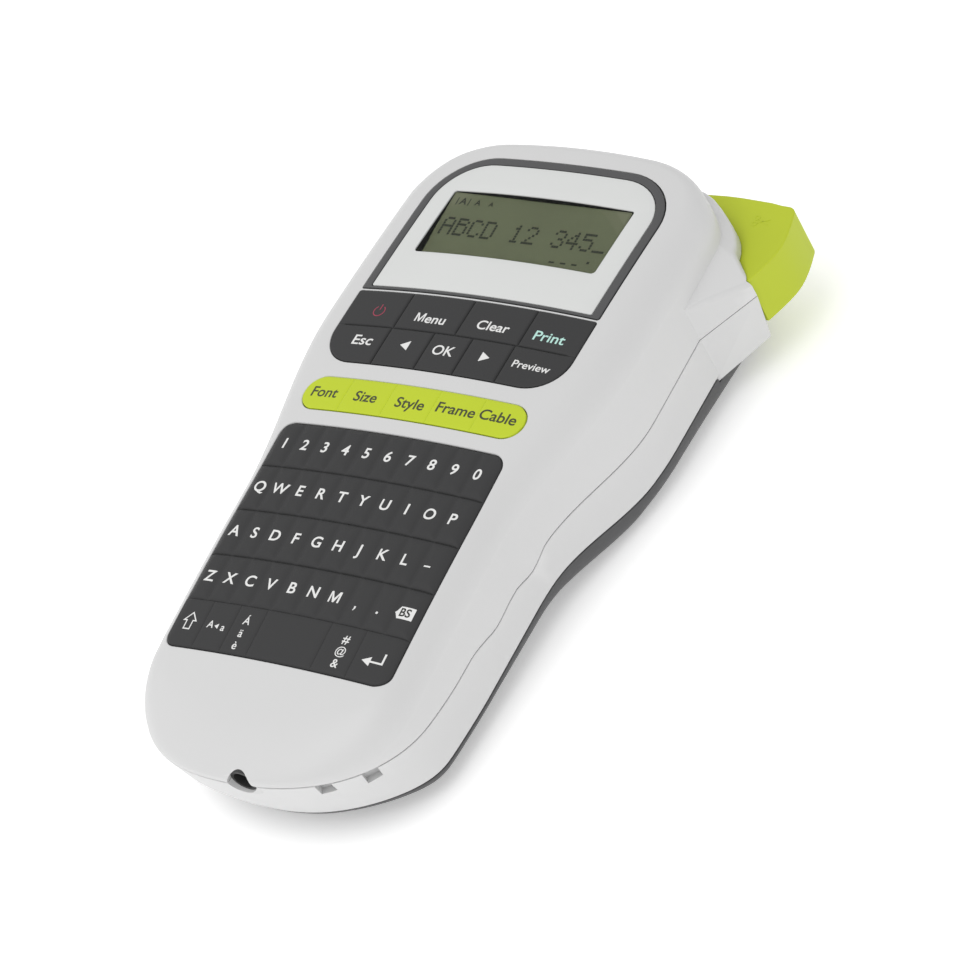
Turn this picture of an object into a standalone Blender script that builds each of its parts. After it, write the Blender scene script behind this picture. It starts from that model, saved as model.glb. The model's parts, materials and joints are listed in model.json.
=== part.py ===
"""Handheld label maker with keyboard, display, tape cassette, drive train and cutter lever.

Lengths below are millimetres in the device frame: x to the right, y towards the display end,
z out of the keyboard face. The empty rest_tilt lays that frame on its back, +Z up.
"""

import math

import bmesh
import bpy
import numpy as np
from mathutils import Matrix, Vector

MM = 0.001
GAP = 0.3

# Outline of the body, seen from the front
GRIP_HALF_WIDTH = 40.7
HEAD_HALF_WIDTH = 49.2
FLARE_START = -14.0
FLARE_END = 46.0
LOW_END_Y = -95.0
LOW_ARC_Y = -62.0
LOW_ARC_POWER = 2.25
TOP_END_Y = 113.3
TOP_CORNER_Y = 91.3
TOP_CORNER_RX = 26.0
TOP_EDGE_CROWN = 0.0012

# Front face: a shallow double crown
CROWN_X = 0.0015
CROWN_Y = 0.000585
CROWN_CENTRE_Y = 10.0
FRONT_FILLET = 8.0
LOW_FILLET_INSET = 16.0

# Lines along the sides
PARTING_HEAD_Z = -30.3
PARTING_WAIST_RISE = 5.2
PARTING_GRIP_RISE = 2.2
PARTING_LOW_RISE = 11.2
SEAM_GRIP_Z = -36.9
SEAM_HEAD_DROP = 7.2
BACK_GRIP_Z = -43.4
REST_TILT_DEG = 5.5
REST_START_Y = 30.0
REST_START_Z = -51.8
REST_POINT_Y = 65.0
BACK_CROWN = 2.4

WALL = 2.2
TUB_INSET = 4.8
FLOOR_TOP_Z = -22.0
FLOOR_LOW_Z = -24.2

# Openings in the front face
KEYS_HALF_WIDTH = 35.6
KEYS_TOP_Y = 7.2
KEYS_LOW_Y = -63.6
KEYS_CORNER = 4.0
KEY_ROW_PITCH = 14.22
KEY_ROWS = 4
PILL_HALF_WIDTH = 35.2
PILL_Y = 17.7
PILL_HALF_HEIGHT = 5.4
NAV_HALF_WIDTH = 38.2
NAV_TOP_Y = 53.4
NAV_SPLIT_Y = 41.2
NAV_LOW_Y = 28.6
NAV_CORNER = 11.0
NAV_TOP_SPLITS = (-19.4, 0.9, 20.7)
NAV_LOW_SPLITS = (-19.6, -5.3, 7.0, 20.2)
PANEL_LOW_Y = 54.4
PANEL_TOP_Y = 105.2
PANEL_CORNER = 17.0
FRAME_BAND = 2.5
LCD_HALF_WIDTH = 29.2
LCD_LOW_Y = 68.7
LCD_TOP_Y = 92.0
KEY_DEPTH = 5.0
KEY_PROUD = 0.3
PANEL_DEPTH = 1.6

# Side wing and cutter lever at the top right corner
WING_START = (49.0, 71.8)
WING_END = (57.0, 88.6)
WING_LOW_Z = -46.6
WING_ROOF_Z = -18.3
WING_ROOF_SLOPE = 0.75
HOOD_EDGE = [(56.0, 90.9), (52.7, 95.5), (51.3, 98.0), (49.1, 101.2), (45.6, 101.5), (46.4, 98.0)]
LEVER_FRONT_Z = -25.0
LEVER_BACK_Z = -41.2
LEVER_HINGE = (48.0, 83.0)
LEVER_BOSS_R = 3.6
LEVER_PIN_R = 1.5
SLOT_CLEARANCE = 0.4
TAPE_X = 18.3

# Two shallow notches in the rear housing's rim at the low end
NOTCHES = ((26.4, -88.8), (35.2, -80.9))
NOTCH_WIDTH = 4.0
NOTCH_DROP = 3.6

# Socket, power and drive
JACK_X = 5.2
JACK_Z = -12.2
JACK_HOLE_R = 3.7
CELL_R = 5.2
CELL_LENGTH = 44.5
CELL_PITCH = 10.9
CELL_Z = -29.8
CELL_Y = -37.0
CASSETTE_HALF_X = 42.2
CASSETTE_Y = (34.5, 83.5)
CASSETTE_Z = (-25.0, -41.6)
PLATE_Z = -45.0
PLATE_THICKNESS = 1.5
GEAR_MODULE = 0.6
PLATEN_XY = (13.4, 94.8)

HALF_POINTS = dict(low=9, side=13, corner=8, top=3)
FACE_COLUMNS = 6


# ---------------------------------------------------------------- scene helpers

for old in list(bpy.data.objects):
    bpy.data.objects.remove(old, do_unlink=True)

parts = bpy.data.collections.new("label_maker")
cutters = bpy.data.collections.new("cutters")
bpy.context.scene.collection.children.link(parts)
bpy.context.scene.collection.children.link(cutters)


def smooth(value, start, end):
    t = min(max((value - start) / (end - start), 0.0), 1.0)
    return t * t * (3.0 - 2.0 * t)


def back_z(x, y):
    """Back of the cover: flat rest face under the head, a shallow crown along the grip."""
    flat = REST_START_Z - math.tan(math.radians(REST_TILT_DEG)) * (y - REST_START_Y)
    grip = BACK_GRIP_Z - 0.07 * (y + 12.0) - 5.6 * smooth(y, -14.0, 30.0)
    crown = BACK_CROWN * max(1.0 - (x / 34.0) ** 2, 0.0) * (1.0 - smooth(y, -5.0, 28.0))
    blend = smooth(y, 26.0, 34.0)
    return (grip - crown) * (1.0 - blend) + flat * blend


rest_tilt = bpy.data.objects.new("rest_tilt", None)
rest_tilt.empty_display_size = 0.02
parts.objects.link(rest_tilt)
tilt = Matrix.Rotation(math.radians(REST_TILT_DEG), 4, "X")
rest_point = Vector((0.0, REST_POINT_Y, back_z(0.0, REST_POINT_Y))) * MM
rest_tilt.matrix_world = Matrix.Translation(-(tilt @ rest_point)) @ tilt

MATERIALS = {
    "white_shell": ((0.80, 0.80, 0.79), 0.38, 0.0),
    "grey_cover": ((0.115, 0.115, 0.118), 0.55, 0.0),
    "key_grey": ((0.062, 0.062, 0.064), 0.60, 0.0),
    "key_green": ((0.55, 0.68, 0.03), 0.50, 0.0),
    "lever_green": ((0.50, 0.62, 0.05), 0.42, 0.0),
    "frame_grey": ((0.11, 0.11, 0.115), 0.45, 0.0),
    "panel_white": ((0.74, 0.75, 0.74), 0.30, 0.0),
    "clear": ((0.75, 0.78, 0.76), 0.08, 0.0),
    "lcd_olive": ((0.13, 0.14, 0.08), 0.25, 0.0),
    "board_green": ((0.03, 0.16, 0.07), 0.55, 0.0),
    "black": ((0.02, 0.02, 0.02), 0.50, 0.0),
    "steel": ((0.55, 0.56, 0.58), 0.32, 1.0),
    "brass": ((0.62, 0.48, 0.20), 0.35, 1.0),
    "gear_white": ((0.72, 0.70, 0.62), 0.50, 0.0),
    "rubber": ((0.035, 0.035, 0.037), 0.80, 0.0),
    "cell_label": ((0.16, 0.18, 0.22), 0.35, 0.3),
    "cassette_grey": ((0.30, 0.31, 0.33), 0.45, 0.0),
    "tape_white": ((0.85, 0.85, 0.82), 0.55, 0.0),
}


def material(node_name, look):
    colour, roughness, metallic = MATERIALS[look]
    made = bpy.data.materials.new(node_name + "_" + look)
    made.use_nodes = True
    made.diffuse_color = (*colour, 1.0)
    shader = made.node_tree.nodes["Principled BSDF"]
    shader.inputs["Base Color"].default_value = (*colour, 1.0)
    shader.inputs["Roughness"].default_value = roughness
    shader.inputs["Metallic"].default_value = metallic
    return made


def node(name, mesh, look, origin=(0.0, 0.0, 0.0), smooth_shade=False):
    """A finished piece whose mesh is in millimetres around its own origin."""
    mesh.transform(Matrix.Scale(MM, 4))
    made = bpy.data.objects.new(name, mesh)
    mesh.materials.append(material(name, look))
    if smooth_shade:
        mesh.shade_smooth()
        mesh.set_sharp_from_angle(angle=math.radians(35.0))
    parts.objects.link(made)
    made.parent = rest_tilt
    made.location = Vector(origin) * MM
    return made


def cutter(name, mesh, origin=(0.0, 0.0, 0.0)):
    mesh.transform(Matrix.Scale(MM, 4))
    made = bpy.data.objects.new(name, mesh)
    cutters.objects.link(made)
    made.parent = rest_tilt
    made.location = Vector(origin) * MM
    made.hide_render = True
    made.display_type = "WIRE"
    return made


def boolean(target, tool, operation="DIFFERENCE"):
    cut = target.modifiers.new(tool.name, "BOOLEAN")
    cut.operation = operation
    cut.object = tool
    cut.solver = "EXACT"


def finish_mesh(work, name):
    bmesh.ops.recalc_face_normals(work, faces=work.faces)
    mesh = bpy.data.meshes.new(name)
    work.to_mesh(mesh)
    work.free()
    return mesh


def box_mesh(name, low, high, bevel=0.0):
    work = bmesh.new()
    bmesh.ops.create_cube(work, size=1.0)
    for vertex in work.verts:
        for axis in range(3):
            vertex.co[axis] = low[axis] + (vertex.co[axis] + 0.5) * (high[axis] - low[axis])
    if bevel > 0.0:
        bmesh.ops.bevel(work, geom=list(work.edges), offset=bevel, segments=1, affect="EDGES")
    return finish_mesh(work, name)


def evaluated_mesh(made, name):
    """The mesh that a curve or a modified object makes, welded; the object itself is removed."""
    bpy.context.scene.collection.objects.link(made)
    bpy.context.view_layer.update()
    mesh = bpy.data.meshes.new_from_object(made.evaluated_get(bpy.context.evaluated_depsgraph_get()))
    bpy.data.objects.remove(made, do_unlink=True)
    work = bmesh.new()
    work.from_mesh(mesh)
    bmesh.ops.remove_doubles(work, verts=work.verts, dist=1e-4)
    mesh = finish_mesh(work, name)
    mesh.materials.clear()
    return mesh


def turned_mesh(name, profile, sides=32, closed=False):
    """Screw of a profile of (radius, z) points, listed from its low end to its high end."""
    rim = list(profile)[::-1]
    if not closed:
        rim = [(0.0, rim[0][1])] + rim + [(0.0, rim[-1][1])]
    links = [(k, k + 1) for k in range(len(rim) - 1)] + ([(len(rim) - 1, 0)] if closed else [])
    mesh = bpy.data.meshes.new(name)
    mesh.from_pydata([(radius, 0.0, height) for radius, height in rim], links, [])
    made = bpy.data.objects.new(name, mesh)
    screw = made.modifiers.new("turn", "SCREW")
    screw.steps = sides
    screw.render_steps = sides
    screw.use_merge_vertices = True
    screw.merge_threshold = 0.0001
    return evaluated_mesh(made, name)


def tube_mesh(name, radius, z_low, z_high, bore=0.0, sides=32):
    """Cylinder along z, or a tube when it has a bore."""
    profile = [(radius, z_low), (radius, z_high)]
    profile += [(bore, z_high), (bore, z_low)] if bore else []
    return turned_mesh(name, profile, sides, closed=bool(bore))


def prism_mesh(name, outline_points, z_low, z_high):
    """Flat outline as a filled 2D curve, extruded between two heights."""
    curve = bpy.data.curves.new(name, "CURVE")
    curve.dimensions = "2D"
    curve.fill_mode = "BOTH"
    curve.extrude = 0.5 * (z_high - z_low)
    spline = curve.splines.new("POLY")
    spline.points.add(len(outline_points) - 1)
    for point, (x, y) in zip(spline.points, outline_points):
        point.co = (x, y, 0.0, 1.0)
    spline.use_cyclic_u = True
    mesh = evaluated_mesh(bpy.data.objects.new(name, curve), name)
    mesh.transform(Matrix.Translation((0.0, 0.0, 0.5 * (z_low + z_high))))
    return mesh


def arc(centre, radius, start_deg, end_deg, steps):
    angles = [math.radians(start_deg + (end_deg - start_deg) * k / steps) for k in range(steps + 1)]
    return [(centre[0] + radius * math.cos(a), centre[1] + radius * math.sin(a)) for a in angles]


# ---------------------------------------------------------------- body surfaces

def front_z(x, y):
    return -CROWN_X * x * x - CROWN_Y * (y - CROWN_CENTRE_Y) ** 2


def half_width(y):
    return GRIP_HALF_WIDTH + (HEAD_HALF_WIDTH - GRIP_HALF_WIDTH) * smooth(y, FLARE_START, FLARE_END)


def hump(value, centre, half_length):
    """A soft bump, 1 at its centre."""
    return max(1.0 - ((value - centre) / half_length) ** 2, 0.0) ** 2


def parting_z(y):
    """The line between the housings rises in two waves from the head to the low end."""
    rise = PARTING_WAIST_RISE * smooth(-y, -42.0, 0.0) + PARTING_GRIP_RISE * smooth(-y, 28.0, 41.0)
    waves = 1.9 * hump(y, -9.0, 8.0) + 0.5 * hump(y, -27.0, 7.0)
    low = min(max((-46.0 - y) / 49.0, 0.0), 1.0) ** 1.7
    return PARTING_HEAD_Z + rise - waves + PARTING_LOW_RISE * low


def seam_z(y):
    head = -SEAM_HEAD_DROP * smooth(y, -6.0, 36.0) - 0.022 * max(y - 36.0, 0.0)
    low = 5.9 * min(max((-42.0 - y) / 53.0, 0.0), 1.0) ** 1.5
    return SEAM_GRIP_Z + head + low


def undercut(y, z):
    """How far the low end draws in below its widest level."""
    return (6.5 * smooth(-z, 14.0, 36.0) + 5.0 * smooth(-z, 30.0, 44.0)) * smooth(-y, 58.0, 92.0)


def half_outline():
    """Right half of the outline from the low end to the top end, with outward normals."""
    points = []
    steps = HALF_POINTS["low"]
    for k in range(steps):
        t = 0.5 * math.pi * k / steps
        x = GRIP_HALF_WIDTH * math.sin(t) ** (2.0 / LOW_ARC_POWER)
        y = LOW_ARC_Y - (LOW_ARC_Y - LOW_END_Y) * math.cos(t) ** (2.0 / LOW_ARC_POWER)
        points.append((x, y))
    steps = HALF_POINTS["side"]
    for k in range(steps):
        y = LOW_ARC_Y + (TOP_CORNER_Y - LOW_ARC_Y) * k / steps
        points.append((half_width(y), y))
    steps = HALF_POINTS["corner"]
    for k in range(steps + 1):
        t = 0.5 * math.pi * k / steps
        x = HEAD_HALF_WIDTH - TOP_CORNER_RX + TOP_CORNER_RX * math.cos(t)
        points.append((x, TOP_CORNER_Y + (TOP_END_Y - TOP_CORNER_Y) * math.sin(t)))
    steps = HALF_POINTS["top"]
    for k in range(1, steps + 1):
        points.append(((HEAD_HALF_WIDTH - TOP_CORNER_RX) * (1.0 - k / steps), TOP_END_Y))
    points = [(x, y - TOP_EDGE_CROWN * x * x * smooth(y, 95.0, 110.0)) for x, y in points]
    normals = []
    for k, (x, y) in enumerate(points):
        before = points[k - 1] if k else (-points[1][0], points[1][1])
        after = points[k + 1] if k + 1 < len(points) else (-points[-2][0], points[-2][1])
        along = Vector((after[0] - before[0], after[1] - before[1])).normalized()
        normals.append((along.y, -along.x))
    return points, normals


HALF, NORMALS = half_outline()


def ring_points(inset, height):
    """One closed loop of the body: inset and height may be numbers or functions of y."""
    right = []
    for (x, y), (nx, ny) in zip(HALF, NORMALS):
        step_in = inset(y) if callable(inset) else inset
        px, py = max(x - nx * step_in, 0.0), y - ny * step_in
        level = height(px, py, y) if callable(height) else height
        right.append((px, py + undercut(py, level), level))
    left = [(-x, y, z) for x, y, z in right[1:-1]]
    return right + left[::-1]


def body_mesh(name, outer, outer_cap, inner, inner_cap):
    """Closed shell: outer rings from the cap to the rim, then inner rings from rim to cap."""
    work = bmesh.new()
    rings = [[work.verts.new(p) for p in ring_points(*ring)] for ring in outer + inner]
    count = len(rings[0])
    for ring, following in zip(rings, rings[1:]):
        for step in range(count):
            ahead = (step + 1) % count
            work.faces.new((ring[step], ring[ahead], following[ahead], following[step]))
    fill_cap(work, rings[0], outer_cap)
    fill_cap(work, rings[-1], inner_cap)
    bmesh.ops.triangulate(work, faces=work.faces)
    return finish_mesh(work, name)


def fill_cap(work, ring, surface):
    """Fill a ring with rows across x that follow the surface function."""
    top = len(HALF) - 1
    rows = []
    for k in range(1, top):
        right, left = ring[k], ring[-k]
        row = [left]
        for column in range(1, FACE_COLUMNS):
            t = column / FACE_COLUMNS
            x = left.co.x + (right.co.x - left.co.x) * t
            y = left.co.y + (right.co.y - left.co.y) * t
            row.append(work.verts.new((x, y, surface(x, y))))
        rows.append(row + [right])
    for row, following in zip(rows, rows[1:]):
        for column in range(FACE_COLUMNS):
            work.faces.new((row[column], row[column + 1], following[column + 1], following[column]))
    for end, row in ((ring[0], rows[0]), (ring[top], rows[-1])):
        for column in range(FACE_COLUMNS):
            work.faces.new((end, row[column], row[column + 1]))


def fillet_inset(y):
    return FRONT_FILLET + (LOW_FILLET_INSET - FRONT_FILLET) * smooth(-y, 66.0, 92.0)


def fillet_ring(angle_deg, extra=0.0):
    """Ring on the front fillet: 0 degrees is the face edge, 90 the side wall."""
    turn = math.radians(angle_deg)

    def inset(y):
        return extra + fillet_inset(y) * (1.0 - math.sin(turn))

    def height(x, y, outline_y):
        start = front_z(x, y) - extra
        drop = min(FRONT_FILLET, start - parting_z(outline_y) - 0.8)
        return start - drop * (1.0 - math.cos(turn))

    return inset, height


def front_housing_mesh():
    outer = [fillet_ring(angle) for angle in (0.0, 24.0, 46.0, 68.0, 90.0)]
    outer.append((0.0, lambda x, y, o: parting_z(o)))
    inner = [(WALL, lambda x, y, o: parting_z(o))]
    inner += [fillet_ring(angle, WALL) for angle in (90.0, 45.0, 0.0)]
    return body_mesh("front_housing", outer, front_z, inner, lambda x, y: front_z(x, y) - WALL)


def rear_housing_mesh():
    """White ring below the parting line and the floor between electronics and the two bays."""
    skirt = WALL + 0.5
    outer = [
        (skirt, FLOOR_TOP_Z),
        (skirt, lambda x, y, o: parting_z(o) - GAP),
        (0.0, lambda x, y, o: parting_z(o) - GAP),
        (0.0, lambda x, y, o: seam_z(o)),
    ]
    inner = [
        (WALL, lambda x, y, o: seam_z(o)),
        (WALL, lambda x, y, o: min(parting_z(o) - WALL, FLOOR_LOW_Z - WALL)),
        (TUB_INSET, lambda x, y, o: min(parting_z(o) - WALL, FLOOR_LOW_Z - WALL)),
        (TUB_INSET, FLOOR_LOW_Z),
    ]
    return body_mesh("rear_housing", outer, lambda x, y: FLOOR_TOP_Z, inner, lambda x, y: FLOOR_LOW_Z)


def cover_fillet(y):
    return 7.0 + 2.5 * smooth(y, 20.0, 50.0)


def cover_mesh():
    """Dark cover over the cassette bay and the battery bay, seen from its rim to its back."""
    def edge_drop(o, x, y):
        return min(cover_fillet(o), seam_z(o) - 2.0 * GAP - back_z(x, y))

    def ring(angle_deg, extra):
        turn = math.radians(angle_deg)
        inset = lambda y: extra + cover_fillet(y) * (1.0 - math.sin(turn))
        height = lambda x, y, o: back_z(x, y) + extra + edge_drop(o, x, y) * (1.0 - math.cos(turn))
        return inset, height

    rim = lambda x, y, o: seam_z(o) - GAP
    outer = [ring(angle, 0.0) for angle in (0.0, 30.0, 60.0, 90.0)] + [(0.0, rim)]
    inner = [(WALL, rim), ring(45.0, WALL), ring(0.0, WALL)]
    return body_mesh("back_cover", outer, back_z, inner, lambda x, y: back_z(x, y) + WALL)


# ---------------------------------------------------------------- plates on the front face

def column_mesh(name, spans, top, bottom):
    """Solid from columns across x: spans are (x, y_low, y_high), heights are functions."""
    work = bmesh.new()
    sections = []
    for x, y_low, y_high in spans:
        corners = ((y_low, top), (y_high, top), (y_high, bottom), (y_low, bottom))
        sections.append([work.verts.new((x, y, height(x, y))) for y, height in corners])
    for section, following in zip(sections, sections[1:]):
        for side in range(4):
            ahead = (side + 1) % 4
            work.faces.new((section[side], section[ahead], following[ahead], following[side]))
    work.faces.new(sections[0][::-1])
    work.faces.new(sections[-1])
    return finish_mesh(work, name)


def span_positions(x_low, x_high, low_corner, high_corner, middle=7):
    """x stations: close together in the rounded ends, evenly spaced between them."""
    steps = 4
    left = [x_low + low_corner * (1.0 - math.cos(math.radians(90.0 * k / steps))) for k in range(steps)]
    right = [x_high - high_corner * (1.0 - math.cos(math.radians(90.0 * k / steps))) for k in range(steps)]
    start, end = x_low + low_corner, x_high - high_corner
    inside = [start + (end - start) * k / middle for k in range(middle + 1)]
    return sorted(set((left if low_corner else []) + inside + (right if high_corner else [])))


def corner_rise(x, x_low, x_high, corner):
    """How far a rounded corner has pulled the edge in at x."""
    reach = min(x - x_low, x_high - x)
    if reach >= corner:
        return 0.0
    return corner - math.sqrt(max(corner * corner - (corner - reach) ** 2, 0.0))


def rounded_spans(x_low, x_high, y_low, y_high, low_corner=0.0, high_corner=0.0, middle=7):
    """Spans of a rectangle whose two low and two high corners have their own radii."""
    corner = max(low_corner, high_corner)
    spans = []
    for x in span_positions(x_low, x_high, corner, corner, middle):
        low = y_low + corner_rise(x, x_low, x_high, low_corner)
        high = y_high - corner_rise(x, x_low, x_high, high_corner)
        spans.append((x, low, max(high, low + 0.05)))
    return spans


def grown(spans, by):
    """The same outline moved out by a clearance."""
    wide = spans[-1][0] - spans[0][0]
    centre = 0.5 * (spans[-1][0] + spans[0][0])
    scale = (wide + 2.0 * by) / wide
    return [(centre + (x - centre) * scale, low - by, high + by) for x, low, high in spans]


def opening(name, spans, clearance=GAP):
    return cutter(name, column_mesh(name, grown(spans, clearance), lambda x, y: 6.0, lambda x, y: -14.0))


def proud(offset):
    return lambda x, y: front_z(x, y) + offset


KEYS_SPANS = rounded_spans(-KEYS_HALF_WIDTH, KEYS_HALF_WIDTH, KEYS_LOW_Y, KEYS_TOP_Y, KEYS_CORNER, KEYS_CORNER)
PILL_SPANS = rounded_spans(
    -PILL_HALF_WIDTH, PILL_HALF_WIDTH, PILL_Y - PILL_HALF_HEIGHT, PILL_Y + PILL_HALF_HEIGHT,
    PILL_HALF_HEIGHT - 0.1, PILL_HALF_HEIGHT - 0.1)
NAV_SPANS = rounded_spans(-NAV_HALF_WIDTH, NAV_HALF_WIDTH, NAV_LOW_Y, NAV_TOP_Y, NAV_CORNER, 0.0)
PANEL_SPANS = rounded_spans(
    -NAV_HALF_WIDTH, NAV_HALF_WIDTH, PANEL_LOW_Y, PANEL_TOP_Y, 0.0, PANEL_CORNER)


def key_node(name, x_low, x_high, y_low, y_high, look, outline_spans):
    """A key cap: its own rectangle, trimmed by the rounded outline that it shares."""
    left_end, right_end = outline_spans[0][0], outline_spans[-1][0]
    edges = [x_low, x_high]
    stations = [x for x, low, high in outline_spans if x_low < x < x_high]
    spans = []
    for x in sorted(set(edges + stations)):
        x = min(max(x, left_end), right_end)
        limits = outline_at(outline_spans, x)
        spans.append((x, max(y_low, limits[0]), min(y_high, limits[1])))
    spans = [span for span in spans if span[2] - span[1] > 0.3]
    return node(name, column_mesh(name, spans, proud(KEY_PROUD), proud(KEY_PROUD - KEY_DEPTH)), look)


def outline_at(spans, x):
    stations = [span[0] for span in spans]
    low = float(np.interp(x, stations, [span[1] for span in spans]))
    high = float(np.interp(x, stations, [span[2] for span in spans]))
    return low, high


def make_keys():
    key_gap = 0.5 * GAP
    for row in range(KEY_ROWS):
        high = KEYS_TOP_Y - row * KEY_ROW_PITCH - key_gap
        low = KEYS_TOP_Y - (row + 1) * KEY_ROW_PITCH + key_gap
        name = f"letter_row_{row + 1}"
        key_node(name, -KEYS_HALF_WIDTH, KEYS_HALF_WIDTH, low, high, "key_grey", KEYS_SPANS)
    high = KEYS_TOP_Y - KEY_ROWS * KEY_ROW_PITCH - key_gap
    edges = (-KEYS_HALF_WIDTH, -25.4, -16.2, -7.4, 13.0, 23.6, KEYS_HALF_WIDTH)
    names = ("shift", "caps", "accent", "space", "symbol", "enter")
    for name, left, right in zip(names, edges, edges[1:]):
        key_node(f"key_{name}", left + key_gap, right - key_gap, KEYS_LOW_Y, high, "key_grey", KEYS_SPANS)
    pill_edges = (-PILL_HALF_WIDTH, -21.3, -7.0, 7.4, 21.4, PILL_HALF_WIDTH)
    pill_names = ("font", "size", "style", "frame", "cable")
    for name, left, right in zip(pill_names, pill_edges, pill_edges[1:]):
        key_node(
            f"key_{name}", left + key_gap, right - key_gap,
            PILL_Y - PILL_HALF_HEIGHT, PILL_Y + PILL_HALF_HEIGHT, "key_green", PILL_SPANS)
    top_edges = (-NAV_HALF_WIDTH, *NAV_TOP_SPLITS, NAV_HALF_WIDTH)
    for name, left, right in zip(("power", "menu", "clear", "print"), top_edges, top_edges[1:]):
        key_node(
            f"key_{name}", left + key_gap, right - key_gap,
            NAV_SPLIT_Y + key_gap, NAV_TOP_Y, "key_grey", NAV_SPANS)
    low_edges = (-NAV_HALF_WIDTH, *NAV_LOW_SPLITS, NAV_HALF_WIDTH)
    low_names = ("escape", "left", "ok", "right", "preview")
    for name, left, right in zip(low_names, low_edges, low_edges[1:]):
        key_node(
            f"key_{name}", left + key_gap, right - key_gap,
            NAV_LOW_Y, NAV_SPLIT_Y - key_gap, "key_grey", NAV_SPANS)


def make_display():
    """Grey band, pale panel inside it, clear window and the display module behind."""
    inner_spans = rounded_spans(
        -NAV_HALF_WIDTH + FRAME_BAND, NAV_HALF_WIDTH - FRAME_BAND,
        PANEL_LOW_Y + 0.8, PANEL_TOP_Y - FRAME_BAND, 0.0, PANEL_CORNER - FRAME_BAND)
    lcd_spans = rounded_spans(-LCD_HALF_WIDTH, LCD_HALF_WIDTH, LCD_LOW_Y, LCD_TOP_Y, 1.2, 0.6, 5)
    band = node("display_frame", column_mesh("display_frame", PANEL_SPANS, proud(0.15), proud(-PANEL_DEPTH)),
                "frame_grey")
    hole = cutter("band_hole", column_mesh("band_hole", inner_spans, proud(3.0), proud(-5.0)))
    boolean(band, hole)
    panel_spans = [(x * 0.991, low + GAP, high - GAP) for x, low, high in inner_spans]
    panel = node("display_panel", column_mesh("display_panel", panel_spans, proud(0.1), proud(-PANEL_DEPTH)),
                 "panel_white")
    lcd_hole = cutter("lcd_hole", column_mesh("lcd_hole", lcd_spans, proud(3.0), proud(-5.0)))
    boolean(panel, lcd_hole)
    glass_spans = [(x * 0.989, low + GAP, high - GAP) for x, low, high in lcd_spans]
    node("display_window", column_mesh("display_window", glass_spans, proud(-0.6), proud(-1.8)), "clear")
    node("lcd_module", box_mesh("lcd_module", (-32.0, 64.5, -11.4), (32.0, 95.5, -8.2)), "lcd_olive")


# ---------------------------------------------------------------- wing, lever and cutter

def wing_roof(x):
    """The wing's upper side slopes down and out from the side wall."""
    return WING_ROOF_Z - WING_ROOF_SLOPE * (x - HEAD_HALF_WIDTH)


def wing_mesh(name, z_low, z_high=None, extra=0.0):
    """Flared lug on the right side. Without a z_high it ends in the roof, with a hood over the lever."""
    (x0, y0), (x1, y1) = WING_START, WING_END
    plan = [
        (x0 - 1.6 - extra, y0 - 3.0 - 2.0 * extra), (x0 - 0.6 + extra, y0 - 1.2 - 2.0 * extra),
        (x1 + extra, y1 + extra)]
    if z_high is None:
        plan += HOOD_EDGE
    plan.append((x0 - 1.6 - extra, y1 + extra))
    work = bmesh.new()
    low = [work.verts.new((x, y, z_low)) for x, y in plan]
    high = [work.verts.new((x, y, wing_roof(x) if z_high is None else z_high)) for x, y in plan]
    work.faces.new(low[::-1])
    work.faces.new(high)
    for step in range(len(plan)):
        ahead = (step + 1) % len(plan)
        work.faces.new((low[step], low[ahead], high[ahead], high[step]))
    return finish_mesh(work, name)


def wing_inner_x(y):
    """Inner face of the wing's wall."""
    (x0, y0), (x1, y1) = WING_START, WING_END
    return x0 + (y - y0) * (x1 - x0) / (y1 - y0) - 1.9


def slot_mesh():
    """Room for the lever, its swing and the tape's way out."""
    y_end = WING_END[1]
    plan = [
        (42.0, 77.5), (wing_inner_x(77.5), 77.5), (wing_inner_x(y_end), y_end), (72.0, y_end),
        (72.0, 122.0), (TAPE_X - 2.6, 122.0), (TAPE_X - 2.6, 105.0), (34.0, 98.0), (42.0, 90.0)]
    return prism_mesh("lever_slot", plan, LEVER_BACK_Z - SLOT_CLEARANCE, LEVER_FRONT_Z + SLOT_CLEARANCE)


def lever_plan():
    hx, hy = LEVER_HINGE
    outer = [(57.9, 115.0)] + arc((57.5, 112.6), 2.2, 70.0, 10.0, 3)[1:]
    outer += [(61.3, 106.0), (61.7, 100.0), (61.0, 94.8), (58.7, 89.9), (54.9, 89.9)]
    boss = arc((hx, hy), LEVER_BOSS_R, 0.0, -180.0, 8)
    return [(31.0, 115.6)] + outer + boss + [(44.2, 91.0), (38.0, 98.0), (31.0, 104.5)]


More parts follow.
